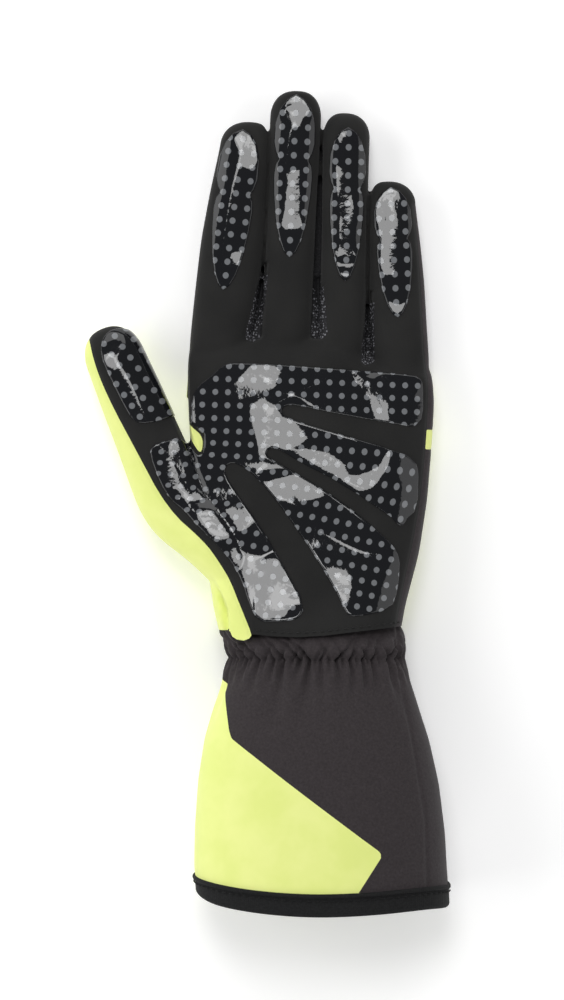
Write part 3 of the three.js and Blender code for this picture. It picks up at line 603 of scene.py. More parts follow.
# Where the soft grips shine, as outlines in the picture: x and y of one corner after another
SHINES = [
    [(235, 143), (235, 137), (242, 131), (249, 130), (256, 137), (259, 149), (258, 161), (254, 169),
     (247, 170), (242, 164), (242, 154), (239, 148)],
    [(230, 253), (242, 250), (242, 252), (240, 266), (236, 266), (231, 258)],
    [(288, 99), (297, 95), (307, 96), (311, 104), (311, 113), (304, 117), (300, 126), (295, 127),
     (293, 117), (292, 106)],
    [(289, 170), (299, 170), (298, 183), (299, 200), (299, 216), (304, 228), (290, 230), (280, 227),
     (284, 216), (286, 200), (288, 183)],
    [(336, 166), (341, 166), (343, 183), (346, 193), (352, 204), (352, 218), (351, 228), (350, 242),
     (340, 242), (339, 228), (341, 214), (340, 204), (337, 190)],
    [(341, 243), (349, 243), (355, 254), (358, 259), (343, 256), (331, 259), (335, 252)],
    [(331, 261), (345, 263), (358, 262), (357, 267), (345, 268), (332, 266)],
    [(334, 272), (354, 274), (352, 278), (336, 276)],
    [(336, 128), (342, 127), (342, 137), (341, 143), (337, 140)],
    [(377, 195), (385, 188), (394, 187), (400, 194), (393, 199), (392, 218), (391, 245), (392, 261),
     (395, 275), (383, 276), (380, 263), (381, 245), (378, 228), (375, 211)],
    [(386, 301), (397, 304), (406, 302), (404, 309), (397, 316), (390, 310)],
    [(102, 357), (110, 352), (117, 360), (118, 370), (110, 369), (103, 364)],
    [(218, 406), (223, 391), (238, 380), (251, 366), (271, 363), (280, 372), (276, 387), (261, 392),
     (245, 397), (229, 399)],
    [(249, 412), (254, 403), (264, 401), (275, 406), (282, 414), (296, 422), (307, 439), (300, 446),
     (282, 451), (269, 458), (260, 458), (257, 442), (252, 428)],
    [(349, 368), (360, 375), (376, 385), (381, 375), (401, 374), (422, 378), (421, 383), (408, 387),
     (399, 393), (388, 400), (389, 420), (374, 420), (368, 400), (355, 384)],
    [(287, 449), (307, 449), (328, 453), (342, 462), (349, 476), (365, 474), (379, 467), (388, 451),
     (391, 452), (388, 467), (376, 485), (360, 492), (344, 481), (323, 469)],
    [(257, 484), (282, 477), (296, 474), (310, 483), (326, 496), (310, 501), (282, 501), (271, 496)],
    [(229, 460), (264, 462), (287, 466), (284, 469), (250, 470), (236, 466)],
    [(170, 441), (172, 441), (172, 462), (179, 484), (190, 495), (209, 493), (227, 487), (237, 491),
     (238, 495), (209, 500), (188, 501), (174, 487), (168, 463)],
    [(199, 511), (227, 510), (248, 508), (256, 520), (248, 528), (231, 534), (227, 540), (218, 540),
     (206, 529), (198, 519)],
    [(229, 546), (245, 553), (264, 558), (282, 560), (294, 579), (304, 602), (291, 607), (284, 618),
     (264, 620), (253, 612), (250, 595), (241, 573), (231, 556)],
    [(326, 570), (344, 570), (351, 575), (351, 589), (346, 605), (339, 595), (331, 582)],
]
STEP, GRID_LOW, GRID_COUNT = 0.5, np.array([-100.0, -10.0]), (300, 460)
DULL, BRIGHT = 1.3, 0.6  # how far from the key's middle the dark and the shining parts look
FINEST, BROADEST, LIE = 0.3, 140, 2.2  # widths of waves, and of the area whose lie counts
ROUNDS, RIM_SLOPE = 240, 0.2


def gridded(values, cell, soften):
    """Values at cells, one a row, spread over the grid, each cell as its near ones say."""
    u = np.fft.fftfreq(GRID_COUNT[0], STEP)[:, None]
    v = np.fft.rfftfreq(GRID_COUNT[1], STEP)[None]
    blur = np.exp(-2 * (math.pi * soften) ** 2 * (u**2 + v**2))
    total = GRID_COUNT[0] * GRID_COUNT[1]
    out = []
    for weight in [np.ones(len(cell)), *values.T]:
        held = np.bincount(cell, weight, total).reshape(GRID_COUNT)
        out.append(np.fft.irfft2(np.fft.rfft2(held) * blur, GRID_COUNT))
    return [o / np.maximum(out[0], 1e-3) for o in out[1:]]


def skin_waves(p, normal, soft_at):
    """Heights on the grid that turn the skin to the key where it shines, and away from it elsewhere."""
    up = (normal[:, 2] > 0.25) & (p[:, 2] > seam_height(p[:, 1]))
    cell = np.floor((p[up, :2] - GRID_LOW) / STEP).astype(int) @ (GRID_COUNT[1], 1)
    facing = np.column_stack([-normal[up, :2] / normal[up, 2:], p[up, 2]])
    base_x, base_y, height = gridded(facing, cell, 0.8)
    ticks = [GRID_LOW[k] + (np.arange(GRID_COUNT[k]) + 0.5) * STEP for k in (0, 1)]
    gx, gy = np.meshgrid(*ticks, indexing="ij")
    at = np.column_stack([gx.ravel(), gy.ravel(), height.ravel()])
    there = (at + WRIST) * MM
    middle = 0
    for end in (CAMERA, KEY):
        way = np.array(end) - there
        middle = middle + way / np.linalg.norm(way, axis=1)[:, None]
    key_x, key_y = (-(middle[:, k] / middle[:, 2]).reshape(GRID_COUNT) for k in (0, 1))
    reach_x, reach_y = (side / 4 / KEY[2] for side in KEY_SIZE)
    pixels = seen(at)
    shine = np.max([inside(pixels, outline) for outline in SHINES], axis=0).reshape(GRID_COUNT) > 0
    held = soft_at(at).reshape(GRID_COUNT)
    fx = 2j * math.pi * np.fft.fftfreq(GRID_COUNT[0], STEP)[:, None]
    fy = 2j * math.pi * np.fft.rfftfreq(GRID_COUNT[1], STEP)[None]
    power = np.abs(fx) ** 2 + np.abs(fy) ** 2
    keep = np.exp(-power * FINEST**2 / 2) / (power + (2 * math.pi / BROADEST) ** 2)
    broad = np.exp(-power * LIE**2 / 2)
    # By the thumb's crotch no slope faces the thumb steeply
    rim = (gx > -45) & (gx < -15) & (gy < 110) & (gy > 62)
    slope_x = slope_y = np.zeros(GRID_COUNT)
    for _ in range(ROUNDS):
        x, y = (base_x + slope_x - key_x) / reach_x, (base_y + slope_y - key_y) / reach_y
        lie_x, lie_y = (np.fft.irfft2(np.fft.rfft2(v) * broad, GRID_COUNT) for v in (x, y))
        sideways = np.abs(lie_x) > 1.2 * np.abs(lie_y)
        far_x = np.where(sideways, np.sign(lie_x) * np.maximum(np.sign(lie_x) * x, DULL), x)
        far_y = np.where(sideways, y, np.sign(lie_y) * np.maximum(np.sign(lie_y) * y, DULL))
        clear = (np.abs(x) >= DULL) | (np.abs(y) >= DULL)
        aim_x = np.where(shine, np.clip(x, -BRIGHT, BRIGHT), np.where(clear, x, far_x))
        aim_y = np.where(shine, np.clip(y, -BRIGHT, BRIGHT), np.where(clear, y, far_y))
        aim_x = slope_x + held * (aim_x - x) * reach_x
        aim_x = np.where(rim & ~shine, np.minimum(aim_x, RIM_SLOPE - base_x), aim_x)
        aim_y = slope_y + held * (aim_y - y) * reach_y
        wave = (np.conj(fx) * np.fft.rfft2(aim_x) + np.conj(fy) * np.fft.rfft2(aim_y)) * keep
        slope_x, slope_y = np.fft.irfft2(wave * fx, GRID_COUNT), np.fft.irfft2(wave * fy, GRID_COUNT)
    return np.fft.irfft2(wave, GRID_COUNT)


def sampled(grid, xy):
    """A grid's values at places in plan."""
    at = (xy - GRID_LOW) / STEP - 0.5
    at = np.clip(at, 0, np.array(GRID_COUNT) - 1.001)
    low = at.astype(int)
    (i, j), (u, v) = low.T, (at - low).T
    near_row = grid[i, j] * (1 - v) + grid[i, j + 1] * v
    return near_row * (1 - u) + (grid[i + 1, j] * (1 - v) + grid[i + 1, j + 1] * v) * u


SEAM_GROOVE, SEAM_WIDTH = 0.5, 0.8
LAYER_RISE, LAYER_GROOVE, LAYER_REACH = 1.5, 5.5, -22
FOLD_DEPTH, FOLD_WIDTH = 2.2, 0.75
fields = hand_fields(hand_points)
normal = normals_of(hand_points, hand_faces)
near = np.full(len(hand_points), np.inf)
taken = np.zeros(len(hand_points), bool)
for field in fields.values():
    near = np.where(taken, near, np.minimum(near, np.abs(field)))
    taken |= field > 0

# The flap's second layer: a soft step on one side of its edge, and a groove on the other
layer = np.array(palm_points(FLAP_LAYER))[::-1]
beside = np.interp(hand_points[:, 1], layer[:, 1], layer[:, 0]) - hand_points[:, 0]
over = (1 - ramp(beside, -0.5, 0.3)) * bell(np.minimum(beside, 0), 6)
over *= (1 - ramp(hand_points[:, 1], 20, 31)) * ramp(hand_points[:, 2], 6, 12)
over *= hand_points[:, 0] < LAYER_REACH
hand_points = hand_points + normal * (LAYER_RISE * over)[:, None]
under = ramp(beside, -0.2, 0.6) * bell(np.maximum(beside, 0), 3.2)
under *= (1 - ramp(hand_points[:, 1], 21, 31)) * ramp(hand_points[:, 2], 8, 14)
under *= hand_points[:, 0] < LAYER_REACH
hand_points[:, 2] -= LAYER_GROOVE * under

groove = SEAM_GROOVE * (0.2 + 0.8 * np.abs(normal[:, 2])) * bell(near, SEAM_WIDTH)
hand_points = hand_points - normal * groove[:, None]
for f in FOURCHETTES.values():
    (x0, y0), (x1, y1) = f["foot"], f["top"]
    along = (hand_points[:, 1] - y0) / (y1 - y0)
    off = hand_points[:, 0] - x0 - (x1 - x0) * along
    fold = ramp(along, 0.05, 0.4) * (along < 1.2) * bell(off, FOLD_WIDTH) * (normal[:, 2] > 0.3)
    hand_points[:, 2] -= FOLD_DEPTH * fold

HEM_LINE = [(-60, 11.2), (-30.4, 11.2), (-29.6, 9.3), (-28, 8.3), (-25.5, 8), (-23.6, 8.7), (-22.6, 10.2)]
HEM_LINE += [(-15, 9.5), (-6.6, 9.2), (3, 9.8), (12.4, 10.9), (22, 11.9), (28.3, 12.5), (50, 12.8)]
BACK_HEM = [(-30, 30), (11.2, 12.8)]


def palm_hem(x):
    """Where the hand's cloth ends over the cuff, on the palm's side."""
    return np.interp(x, *zip(*HEM_LINE))


def hand_pieces():
    """Cuts the skin into its sewn pieces, in the order in which one lies over another."""
    points, left = hand_points, hand_faces
    names = list(fields)
    front = ramp(points[:, 2], 4, 10)
    back_hem = np.interp(points[:, 0], *BACK_HEM)
    hem = back_hem + (palm_hem(points[:, 0]) - back_hem) * front
    points, left, _, held = cut(points, left, points[:, 1] - hem, [fields[n] for n in names])
    out = {}
    for k, name in enumerate(names):
        points, piece, left, held = cut(points, left, held[k], held)
        out[name] = compact(points, piece)
    out["finger_backs"] = compact(points, left)
    return out


# The cuff

CUFF_SIDES, CUFF_STEPS = 640, 150
GATHERS = 36
CUFF_SOFT, CUFF_POWER = 2.2, 2.3
CUFF_TABLE = [dict(r, at=r["at"] * FRILL) for r in FRILL_ROWS]
CUFF_TABLE += [dict(r, at=-r["at"] * CUFF_LENGTH) for r in CUFF_ROWS]


def hem_rise(u, ys):
    """How far the hem bends up toward its sides, and its lower edge round the corners."""
    far = np.abs(u)
    left = 3.6 * far**1.9 + 1.5 * far**14 * ramp(-ys, CUFF_LENGTH - HEM_WIDTH, CUFF_LENGTH)
    return np.where(u < 0, left, 2.3 * far**1.5 - 2 * far**8)


def cuff_points(grow, ys, sides, folds=True):
    """Rings of the cuff's form at some places along it, with the gathers pressed in."""
    read = {k: column(CUFF_TABLE, k, ys, CUFF_SOFT) for k in ("width", "depth", "hem", "lift")}
    width = CUFF_WIDTH * read["width"] / 2 + grow
    mid = CUFF_DEPTH * read["depth"] / 2
    u, v = superellipse(sides, CUFF_POWER)
    x = u[None] * width[:, None]
    y = ys[:, None] + read["hem"][:, None] * hem_rise(u[None], ys[:, None])
    z = v[None] * (mid + grow)[:, None]
    if folds:
        press = gather_depth(ys, sides) / np.hypot(x, z)
        x, z = x * (1 - press), z * (1 - press)
    aside = CUFF_SHIFT * read["hem"] - 2.2 * ramp(ys, 3, 14)
    aside += 0.6 * ramp(-ys, 0.83 * CUFF_LENGTH, CUFF_LENGTH)
    ground = HEM_LIFT * read["lift"] + FRILL_LIFT * ramp(ys, 7.5, 10.5) - min(grow, HEM_LIFT)
    z = np.maximum(z + mid[:, None], ground[:, None])
    return np.stack([x + aside[:, None], y, z], -1)


count = 2 * GATHERS
gather_at = (np.arange(count) / 2 + 0.5 + rng.uniform(-0.2, 0.2, count)) / GATHERS
short = np.arange(count) % 2
gather_deep = np.where(short, rng.uniform(1.0, 1.8, count), rng.uniform(1.8, 3.0, count))
gather_lean = np.where(gather_at < 0.25, -1, 1) * np.where(gather_at > 0.5, rng.choice([-1, 1], count), 1)
gather_slant = gather_lean * rng.uniform(0.35, 1.1, count) * np.where(short, -0.7, 1)
gather_reach = np.where(short, 4, rng.uniform(6, 20, count))
ELASTIC = 1.2  # above the middle of the wrist


def gather_depth(ys, sides):
    """How far the elastic's gathers press the cloth in, at rings along the cuff."""
    ring = cuff_points(0, np.array([0.0]), sides, folds=False)[0]
    step = np.linalg.norm(np.roll(ring, -1, axis=0) - ring, axis=1)
    s, round_length = np.cumsum(step) - step / 2, step.sum()
    above = np.maximum(ys - ELASTIC, 0)[:, None]
    below = np.maximum(ELASTIC - ys, 0)[:, None]
    total = np.zeros((len(ys), sides))
    for at, deep, slant, reach in zip(gather_at, gather_deep, gather_slant, gather_reach):
        middle = at * round_length + slant * above + 0.12 * slant * below
        off = np.abs(s[None] - middle)
        off = np.minimum(off, round_length - off)
        wide = 0.58 + 0.1 * above + 0.14 * below
        fade = bell(above, 6.5) * bell(below, reach)
        total += deep * fade * bell(off, wide)
    pinch = 0.5 * bell(ys - ELASTIC, 0.9)[:, None]
    puff = 0.7 * bell(above - 3.2, 2) + 0.7 * bell(below - 4, 3)
    return (total + pinch - puff) * (1 - 0.7 * ramp(superellipse(sides, CUFF_POWER)[0], 0.93, 1))[None]


CUFF_FLASH = [(0.05, -1.5), (0.05, -0.74), (0.09, -0.735), (0.14, -0.716), (0.27, -0.68), (0.3, -0.66)]
CUFF_FLASH += [(0.741, 0.475), (0.752, 0.487), (0.767, 0.487), (1.05, 0.13), (1.05, -1.5)]
CUFF_SIDE = [(-0.2, 0.63), (0.05, 0.66), (0.144, 0.69), (0.36, 0.76), (0.62, 0.84), (1.05, 0.86)]
CUFF_SIDE += [(1.05, 1.5), (-0.2, 1.5)]


def cuff_point(at, across):
    return [across * CUFF_WIDTH / 2, -at * CUFF_LENGTH]


def cuff_fields(p):
    side = inside(p[:, :2], [cuff_point(*q) for q in CUFF_SIDE])
    seam = CUFF_DEPTH * column(CUFF_TABLE, "depth", p[:, 1], CUFF_SOFT) / 2
    return {
        "cuff_flash": inside(p[:, :2], [cuff_point(*q) for q in CUFF_FLASH]),
        "cuff_back": np.maximum(side, seam - p[:, 2]),
    }


CUFF_END = CUFF_LENGTH - 1.35
HEM_TOP = CUFF_LENGTH - HEM_WIDTH


def cuff_pieces():
    ys = [np.linspace(1.7 * FRILL, -20, 100), np.linspace(-20, -CUFF_END, CUFF_STEPS - 99)[1:]]
    ys = np.concatenate(ys)
    inner_ys = np.append(ys[:-1:2], ys[-1])[::-1]
    skins = [(-CLOTH, inner_ys), (0, ys)]
    rolled = np.concatenate([cuff_points(grow, at, CUFF_SIDES) for grow, at in skins])
    flat = np.concatenate([cuff_points(grow, at, CUFF_SIDES, folds=False) for grow, at in skins])
    faces = quads(len(rolled), CUFF_SIDES)
    points = rolled.reshape(-1, 3)
    fields_now = cuff_fields(flat.reshape(-1, 3))
    near_seam = np.abs(fields_now["cuff_back"])
    normal_now = normals_of(points, faces)
    outward = np.arange(len(points)) >= len(inner_ys) * CUFF_SIDES
    press = 0.35 * bell(near_seam, 0.8) * outward
    points = points - normal_now * press[:, None]
    out, left = {}, faces
    held = [fields_now["cuff_flash"], fields_now["cuff_back"]]
    for k, name in enumerate(("cuff_flash", "cuff_back")):
        points, piece, left, held = cut(points, left, held[k], held)
        out[name] = compact(points, piece)
    out["cuff_front"] = compact(points, left)
    return out


def hem_ring(profile, sides=520):
    """A band round the hem from a closed profile of (growth, distance from the wrist)."""
    rings = [cuff_points(grow, np.array([-at]), sides, folds=False)[0] for grow, at in profile]
    rings.append(rings[0])
    return np.concatenate(rings), quads(len(rings), sides)


def hem_pieces():
    thick, bend_length = 0.6, 1.5
    middle = -CLOTH / 2
    inner_grow = 2 * middle - thick
    outer = [(thick - 0.25 * (1 - s), HEM_TOP + 0.2 + s * (HEM_WIDTH - 1.6)) for s in np.linspace(0, 1, 10)]
    bend = [
        (middle + (thick - middle) * math.cos(a), CUFF_LENGTH - bend_length + bend_length * math.sin(a))
        for a in np.linspace(0, math.pi, 9)[1:-1]
    ]
    inner = [(inner_grow, CUFF_LENGTH - bend_length - s * (HEM_WIDTH - 1.7)) for s in np.linspace(0, 1, 6)]
    seat = 0.05  # clear of the cuff's cloth
    close = [(inner_grow + 0.9, HEM_TOP + 0.1), (-CLOTH - seat, HEM_TOP + 0.4)]
    close += [(-CLOTH - seat, CUFF_END + 0.2), (seat, CUFF_END + 0.2), (seat, HEM_TOP + 0.2)]
    close += [(thick - 0.6, HEM_TOP)]
    turns = np.linspace(0, 2 * math.pi, 13)[:-1]
    piping = [(0.35 + 0.75 * math.cos(a), HEM_TOP - 0.3 - 0.8 * math.sin(a)) for a in turns]
    return {"hem_binding": hem_ring(outer + bend + inner + close), "hem_piping": hem_ring(piping)}


# Grips

GRIP_ROWS = table("at width", (0, 0), (0.03, 0.3), (0.1, 0.56), (0.22, 0.8), (0.38, 0.95), (0.5, 1))
GRIP_ROWS += table("at width", (0.565, 0.93), (0.6, 0.76), (0.635, 0.93), (0.7, 1.06), (0.82, 1.02))
GRIP_ROWS += table("at width", (0.91, 0.8), (0.97, 0.45), (1, 0))
FINGER_GRIPS = named(
    "low high width shift dot pitch",
    index=(0.22, 0.955, 0.63, -0.05, (-28.0, 171.8), 4.94),
    middle=(0.325, 0.98, 0.78, 0, (-7.7, 185.6), 5.08),
    ring=(0.25, 0.93, 0.73, 0.03, (11.7, 183.4), 5.05),
    little=(0.245, 0.96, 0.61, -0.02, (27.4, 153.1), 5.05),
)
THUMB_GRIP = [(0.43, 1.4), (0.435, 0.5), (0.46, -0.02), (0.49, -0.18), (0.53, -0.25), (0.66, -0.32)]
THUMB_GRIP += [(0.81, -0.36), (0.87, -0.33), (0.92, -0.2), (0.955, 0), (0.97, 0.3), (0.95, 0.7), (0.87, 1.4)]
PALM_GRIP = [(-0.71, 0.913), (-0.58, 0.926), (0.31, 0.9), (0.83, 0.886), (0.89, 0.874)]
PALM_GRIP += [(0.91, 0.858), (0.91, 0.755), (0.85, 0.727), (0.83, 0.625), (0.87, 0.606)]
PALM_GRIP += [(0.86, 0.469), (0.746, 0.432), (0.72, 0.335), (0.7, 0.224), (0.64, 0.162)]
PALM_GRIP += [(0.347, 0.14), (-0.068, 0.135), (-0.272, 0.125), (-0.419, 0.128), (-0.492, 0.184)]
PALM_GRIP += [(-0.54, 0.246), (-0.638, 0.314), (-0.769, 0.37), (-0.9, 0.417), (-1.013, 0.466)]
PALM_GRIP += [(-1.11, 0.494), (-1.2, 0.547), (-1.29, 0.64), (-1.26, 0.668), (-1.176, 0.677)]
PALM_GRIP += [(-1.0, 0.7), (-0.956, 0.715), (-0.956, 0.811), (-0.9, 0.851), (-0.793, 0.882)]
PALM_SLOTS = [
    [(1, 0.712), (0.25, 0.761), (-0.125, 0.792), (-0.2, 0.79), (-0.235, 0.772), (-0.2, 0.752), (0.25, 0.699)]
    + [(0.66, 0.653), (1, 0.6)],
    [(0.78, 0.41), (0.25, 0.55), (-0.07, 0.612), (-0.256, 0.656), (-0.33, 0.657), (-0.355, 0.635)]
    + [(-0.272, 0.615), (-0.07, 0.572), (0.25, 0.494), (0.56, 0.398), (0.8, 0.3)],
    [(0.3, 0.1), (0.265, 0.178), (0.037, 0.327), (-0.215, 0.469), (-0.419, 0.566), (-0.58, 0.612)]
    + [(-0.66, 0.61), (-0.69, 0.588), (-0.63, 0.541), (-0.378, 0.407), (-0.166, 0.265), (-0.044, 0.178)]
    + [(-0.1, 0.1)],
]
GRIP_BARE = [(-1.1, 0.76), (-0.955, 0.735), (-0.85, 0.7), (-0.86, 0.64), (-0.9, 0.635), (-0.95, 0.66)]
GRIP_BARE += [(-1.1, 0.7)]
GRIP_THICK, GRIP_EDGE, GRIP_SEAT = 0.45, 0.5, 0.1
FINGER_PITCH = 4.65
THUMB_DOT, THUMB_PITCH, THUMB_TURN = (-67.2, 101.3), 4.8, math.radians(36)
PALM_DOT, PALM_PITCH, SKEW_FROM = (-9.26, 99.5), (4.5, 4.69), 15


def finger_frame(f):
    along = f["end"] - f["root"]
    along = along / np.linalg.norm(along)
    return along, np.array([along[1], -along[0]])


def dot_cells(u, v):
    """Places on a grid of dots, one cell for each dot, with a dot in the middle of its cell."""
    return np.column_stack([u + 0.5, v + 0.5, np.zeros(len(u))])


def both(a, b, soft):
    """Where two fields are both positive, with the corner between them rounded."""
    h = np.clip(0.5 + 0.5 * (b - a) / soft, 0, 1)
    return b * (1 - h) + a * h - soft * h * (1 - h)


def grip_outline(f, g):
    _, across = finger_frame(f)
    at = np.linspace(0, 1, 90)
    half = column(GRIP_ROWS, "width", at) * f["width"] * g["width"] / 2
    share = g["low"] + (g["high"] - g["low"]) * at
    line = f["root"] + (f["end"] - f["root"]) * share[:, None] + across * f["width"] * g["shift"]
    right, left = line + across * half[:, None], line - across * half[:, None]
    return np.concatenate([right, left[1:-1][::-1]])


thumb_way = THUMB_TIP - THUMB_ROOT
thumb_line = [(THUMB_ROOT + thumb_way * a)[:2] + THUMB_ACROSS * c * THUMB_WIDTH / 2 for a, c in THUMB_GRIP]
OUTLINES = {name: grip_outline(FINGERS[name], g) for name, g in FINGER_GRIPS.items()}
OUTLINES["thumb"] = loop_rounded(thumb_line, 1)
OUTLINES["palm"] = loop_rounded(palm_points(PALM_GRIP), 1)


def finer(points, faces):
    """Every triangle in four."""
    edges, where = edges_of(faces)
    ab, bc, ca = where + len(points)
    a, b, c = faces.T
    parts = [(a, ab, ca), (ab, b, bc), (ca, bc, c), (ab, bc, ca)]
    points = np.concatenate([points, points[edges].mean(axis=1)])
    return points, np.concatenate([np.column_stack(p) for p in parts])


def grip_skin(field_of, frame_of):
    """A raised patch of the hand's skin, with a rounded edge, and each point's place on its dots."""
    normal_now = normals_of(hand_points, hand_faces)
    field = field_of(hand_points)
    high = hand_points[:, 2] > seam_height(hand_points[:, 1]) + 1.5
    keep = (field > -2.5) & high & (normal_now[:, 2] > -0.1)
    faces = hand_faces[keep[hand_faces].all(axis=1)]
    points, faces = compact(hand_points, faces)
    points, faces = finer(points, faces)
    points = smoothed(points, faces, 2)
    field = field_of(points)
    points, faces, _, _ = cut(points, faces, field)
    points, faces = compact(points, faces)
    normal_now = normals_of(points, faces)
    depth = np.maximum(field_of(points), 0)
    rise = np.sqrt(1 - (1 - np.clip(depth / GRIP_EDGE, 0, 1)) ** 2)
    points = points + normal_now * (GRIP_SEAT + GRIP_THICK * rise)[:, None]
    return points, faces, frame_of(points)


def shining_share(at):
    """How much the waves matter at each place: wholly on the grips, hardly beside them."""
    return ramp(np.max([inside(at[:, :2], o) for o in OUTLINES.values()], axis=0), -1.5, 0.5)


waves = skin_waves(hand_points, normal, shining_share)
lifted = sampled(waves, hand_points[:, :2]) * ramp(normals_of(hand_points, hand_faces)[:, 2], 0.1, 0.5)
lifted *= ramp(hand_points[:, 2] - seam_height(hand_points[:, 1]), 0.0, 1.5)
hand_points[:, 2] += lifted


def straight_dots(middle, across, along, pitch):
    """What finds places on a straight grid of dots, with one dot at its middle."""

    def place(p):
        off = p[:, :2] - middle
        return dot_cells(off @ across / pitch[0], off @ along / pitch[1])

    return place


def grips():
    out = {}
    for name, g in FINGER_GRIPS.items():
        along, across = finger_frame(FINGERS[name])
        place = straight_dots(g["dot"], across, along, (FINGER_PITCH, g["pitch"]))
        out[name + "_grip"] = grip_skin(lambda p, o=OUTLINES[name]: inside(p[:, :2], o), place)
    c, s = math.cos(THUMB_TURN), math.sin(THUMB_TURN)
    place = straight_dots(THUMB_DOT, (c, s), (-s, c), (THUMB_PITCH, THUMB_PITCH))
    out["thumb_grip"] = grip_skin(lambda p: inside(p[:, :2], OUTLINES["thumb"]), place)
    slots = [loop_rounded(palm_points(s), 1) for s in PALM_SLOTS]
    bare = palm_points(GRIP_BARE)

    def palm_field(p):
        field = inside(p[:, :2], OUTLINES["palm"])
        for s in slots:
            field = both(field, -inside(p[:, :2], s), 3.5)
        return np.minimum(field, -inside(p[:, :2], bare))

    def palm_place(p):
        turn = np.radians(11 - 9 * ramp(p[:, 1], 40, 88))
        off = p[:, :2] - PALM_DOT
        u = off[:, 0] + np.tan(turn) * -(off[:, 1] + SKEW_FROM)
        v = off[:, 1] + np.tan(turn) * off[:, 0]
        return dot_cells(u / PALM_PITCH[0], v / PALM_PITCH[1])

    out["palm_grip"] = grip_skin(palm_field, palm_place)
    return out


# Materials


def feed(node, inputs):
    """Sets a node's inputs, each one to a value or to what comes out of another node."""
    for key, value in inputs.items():
        if isinstance(value, bpy.types.NodeSocket):
            node.id_data.links.new(value, node.inputs[key])
        else:
            node.inputs[key].default_value = value


def add(tree, kind, inputs, **settings):
    made = tree.nodes.new("ShaderNode" + kind)
    for key, value in settings.items():
        setattr(made, key, value)
    feed(made, inputs)
    return made


def material(name, build):
    """A material whose shader has the inputs that build works out."""
    made = bpy.data.materials.new(name)
    made.use_nodes = True
    feed(made.node_tree.nodes["Principled BSDF"], build(made.node_tree))
    return made


def places(tree):
    """Place on the object in millimetres."""
    where = add(tree, "TexCoord", {}).outputs["Object"]
    return add(tree, "VectorMath", {0: where, "Scale": 1 / MM}, operation="SCALE").outputs[0]


def noise(at, scale, detail, rough):
    inputs = {"Vector": at, "Scale": scale, "Detail": detail, "Roughness": rough}
    return add(at.id_data, "TexNoise", inputs).outputs["Fac"]


def mixed(factor, low, high, start=0.35, end=0.65):
    """A colour between two, by a factor that counts from start to end."""
    made = add(factor.id_data, "ValToRGB", {"Fac": factor})
    for element, position, colour in zip(made.color_ramp.elements, (start, end), (low, high)):
        element.position = position
        element.color = (*colour, 1)
    return made.outputs["Color"]


def bumped(height, distance, strength):
    inputs = {"Height": height, "Distance": distance * MM, "Strength": strength}
    return add(height.id_data, "Bump", inputs).outputs["Normal"]


BANDS = 3.18  # of the wave texture in one unit, at scale 1


def weave(at, pitch, turn):
    """Height of a plain weave of a given pitch."""
    inputs = {"Vector": at, "Angle": math.radians(turn)}
    spun = add(at.id_data, "VectorRotate", inputs, rotation_type="Z_AXIS").outputs[0]
    inputs = {"Vector": spun, "Scale": 1 / pitch / BANDS, "Distortion": 0.4}
    inputs.update({"Detail": 1.0, "Detail Scale": 0.6})
    waves = {}
    for k, axis in enumerate("XY"):
        made = add(at.id_data, "TexWave", inputs, wave_type="BANDS", bands_direction=axis)
        waves[k] = made.outputs["Fac"]
    return add(at.id_data, "Math", waves, operation="MULTIPLY").outputs[0]


def suede(tree):
    at = places(tree)
    return {
        "Base Color": mixed(noise(at, 0.05, 2, 0.5), (0.0112, 0.0112, 0.011), (0.0156, 0.0154, 0.015)),
        "Roughness": 0.92,
        "Specular IOR Level": 0.25,
        "Sheen Weight": 0.06,
        "Normal": bumped(noise(at, 2.2, 4, 0.65), 0.12, 0.5),
    }


def bright_cloth(tree):
    at = places(tree)
    return {
        "Base Color": mixed(noise(at, 0.06, 3, 0.55), (0.76, 0.84, 0.25), (0.82, 0.88, 0.3)),
        "Roughness": 0.8,
        "Specular IOR Level": 0.3,
        "Sheen Weight": 0.15,
        "Normal": bumped(weave(at, 0.42, 18), 0.07, 0.5),
    }


def dark_cloth(tree):
    at = places(tree)
    fine = noise(at, 1.1, 4, 0.7)
    return {
        "Base Color": mixed(fine, (0.024, 0.0195, 0.021), (0.041, 0.034, 0.0365), 0.3, 0.7),
        "Roughness": 0.85,
        "Specular IOR Level": 0.25,
        "Sheen Weight": 0.05,
        "Normal": bumped(weave(at, 0.4, 8), 0.06, 0.5),
    }


def knit(tree):
    """Small loops, darkened by painted shade where the knit lies deep."""
    at = places(tree)
    cells = add(tree, "TexVoronoi", {"Scale": 1.0, "Randomness": 0.7, "Vector": at}).outputs["Distance"]
    # Painted shade: the lower the knit lies, from 7 mm down to 5.5 mm, the darker its colour, standing in for
    # the shade deep between the fingers
    height = add(tree, "SeparateXYZ", {0: at}).outputs["Z"]
    deep = add(tree, "MapRange", {"Value": height, "From Min": 7.0, "From Max": 5.5}).outputs["Result"]
    loops_and_painted_shade = add(tree, "Math", {0: cells, 1: deep}, operation="ADD").outputs[0]
    return {
        "Base Color": mixed(loops_and_painted_shade, (0.3, 0.3, 0.33), (0.009, 0.009, 0.011), 0.1, 0.44),
        "Roughness": 0.8,
        "Normal": bumped(cells, -0.35, 0.9),
    }


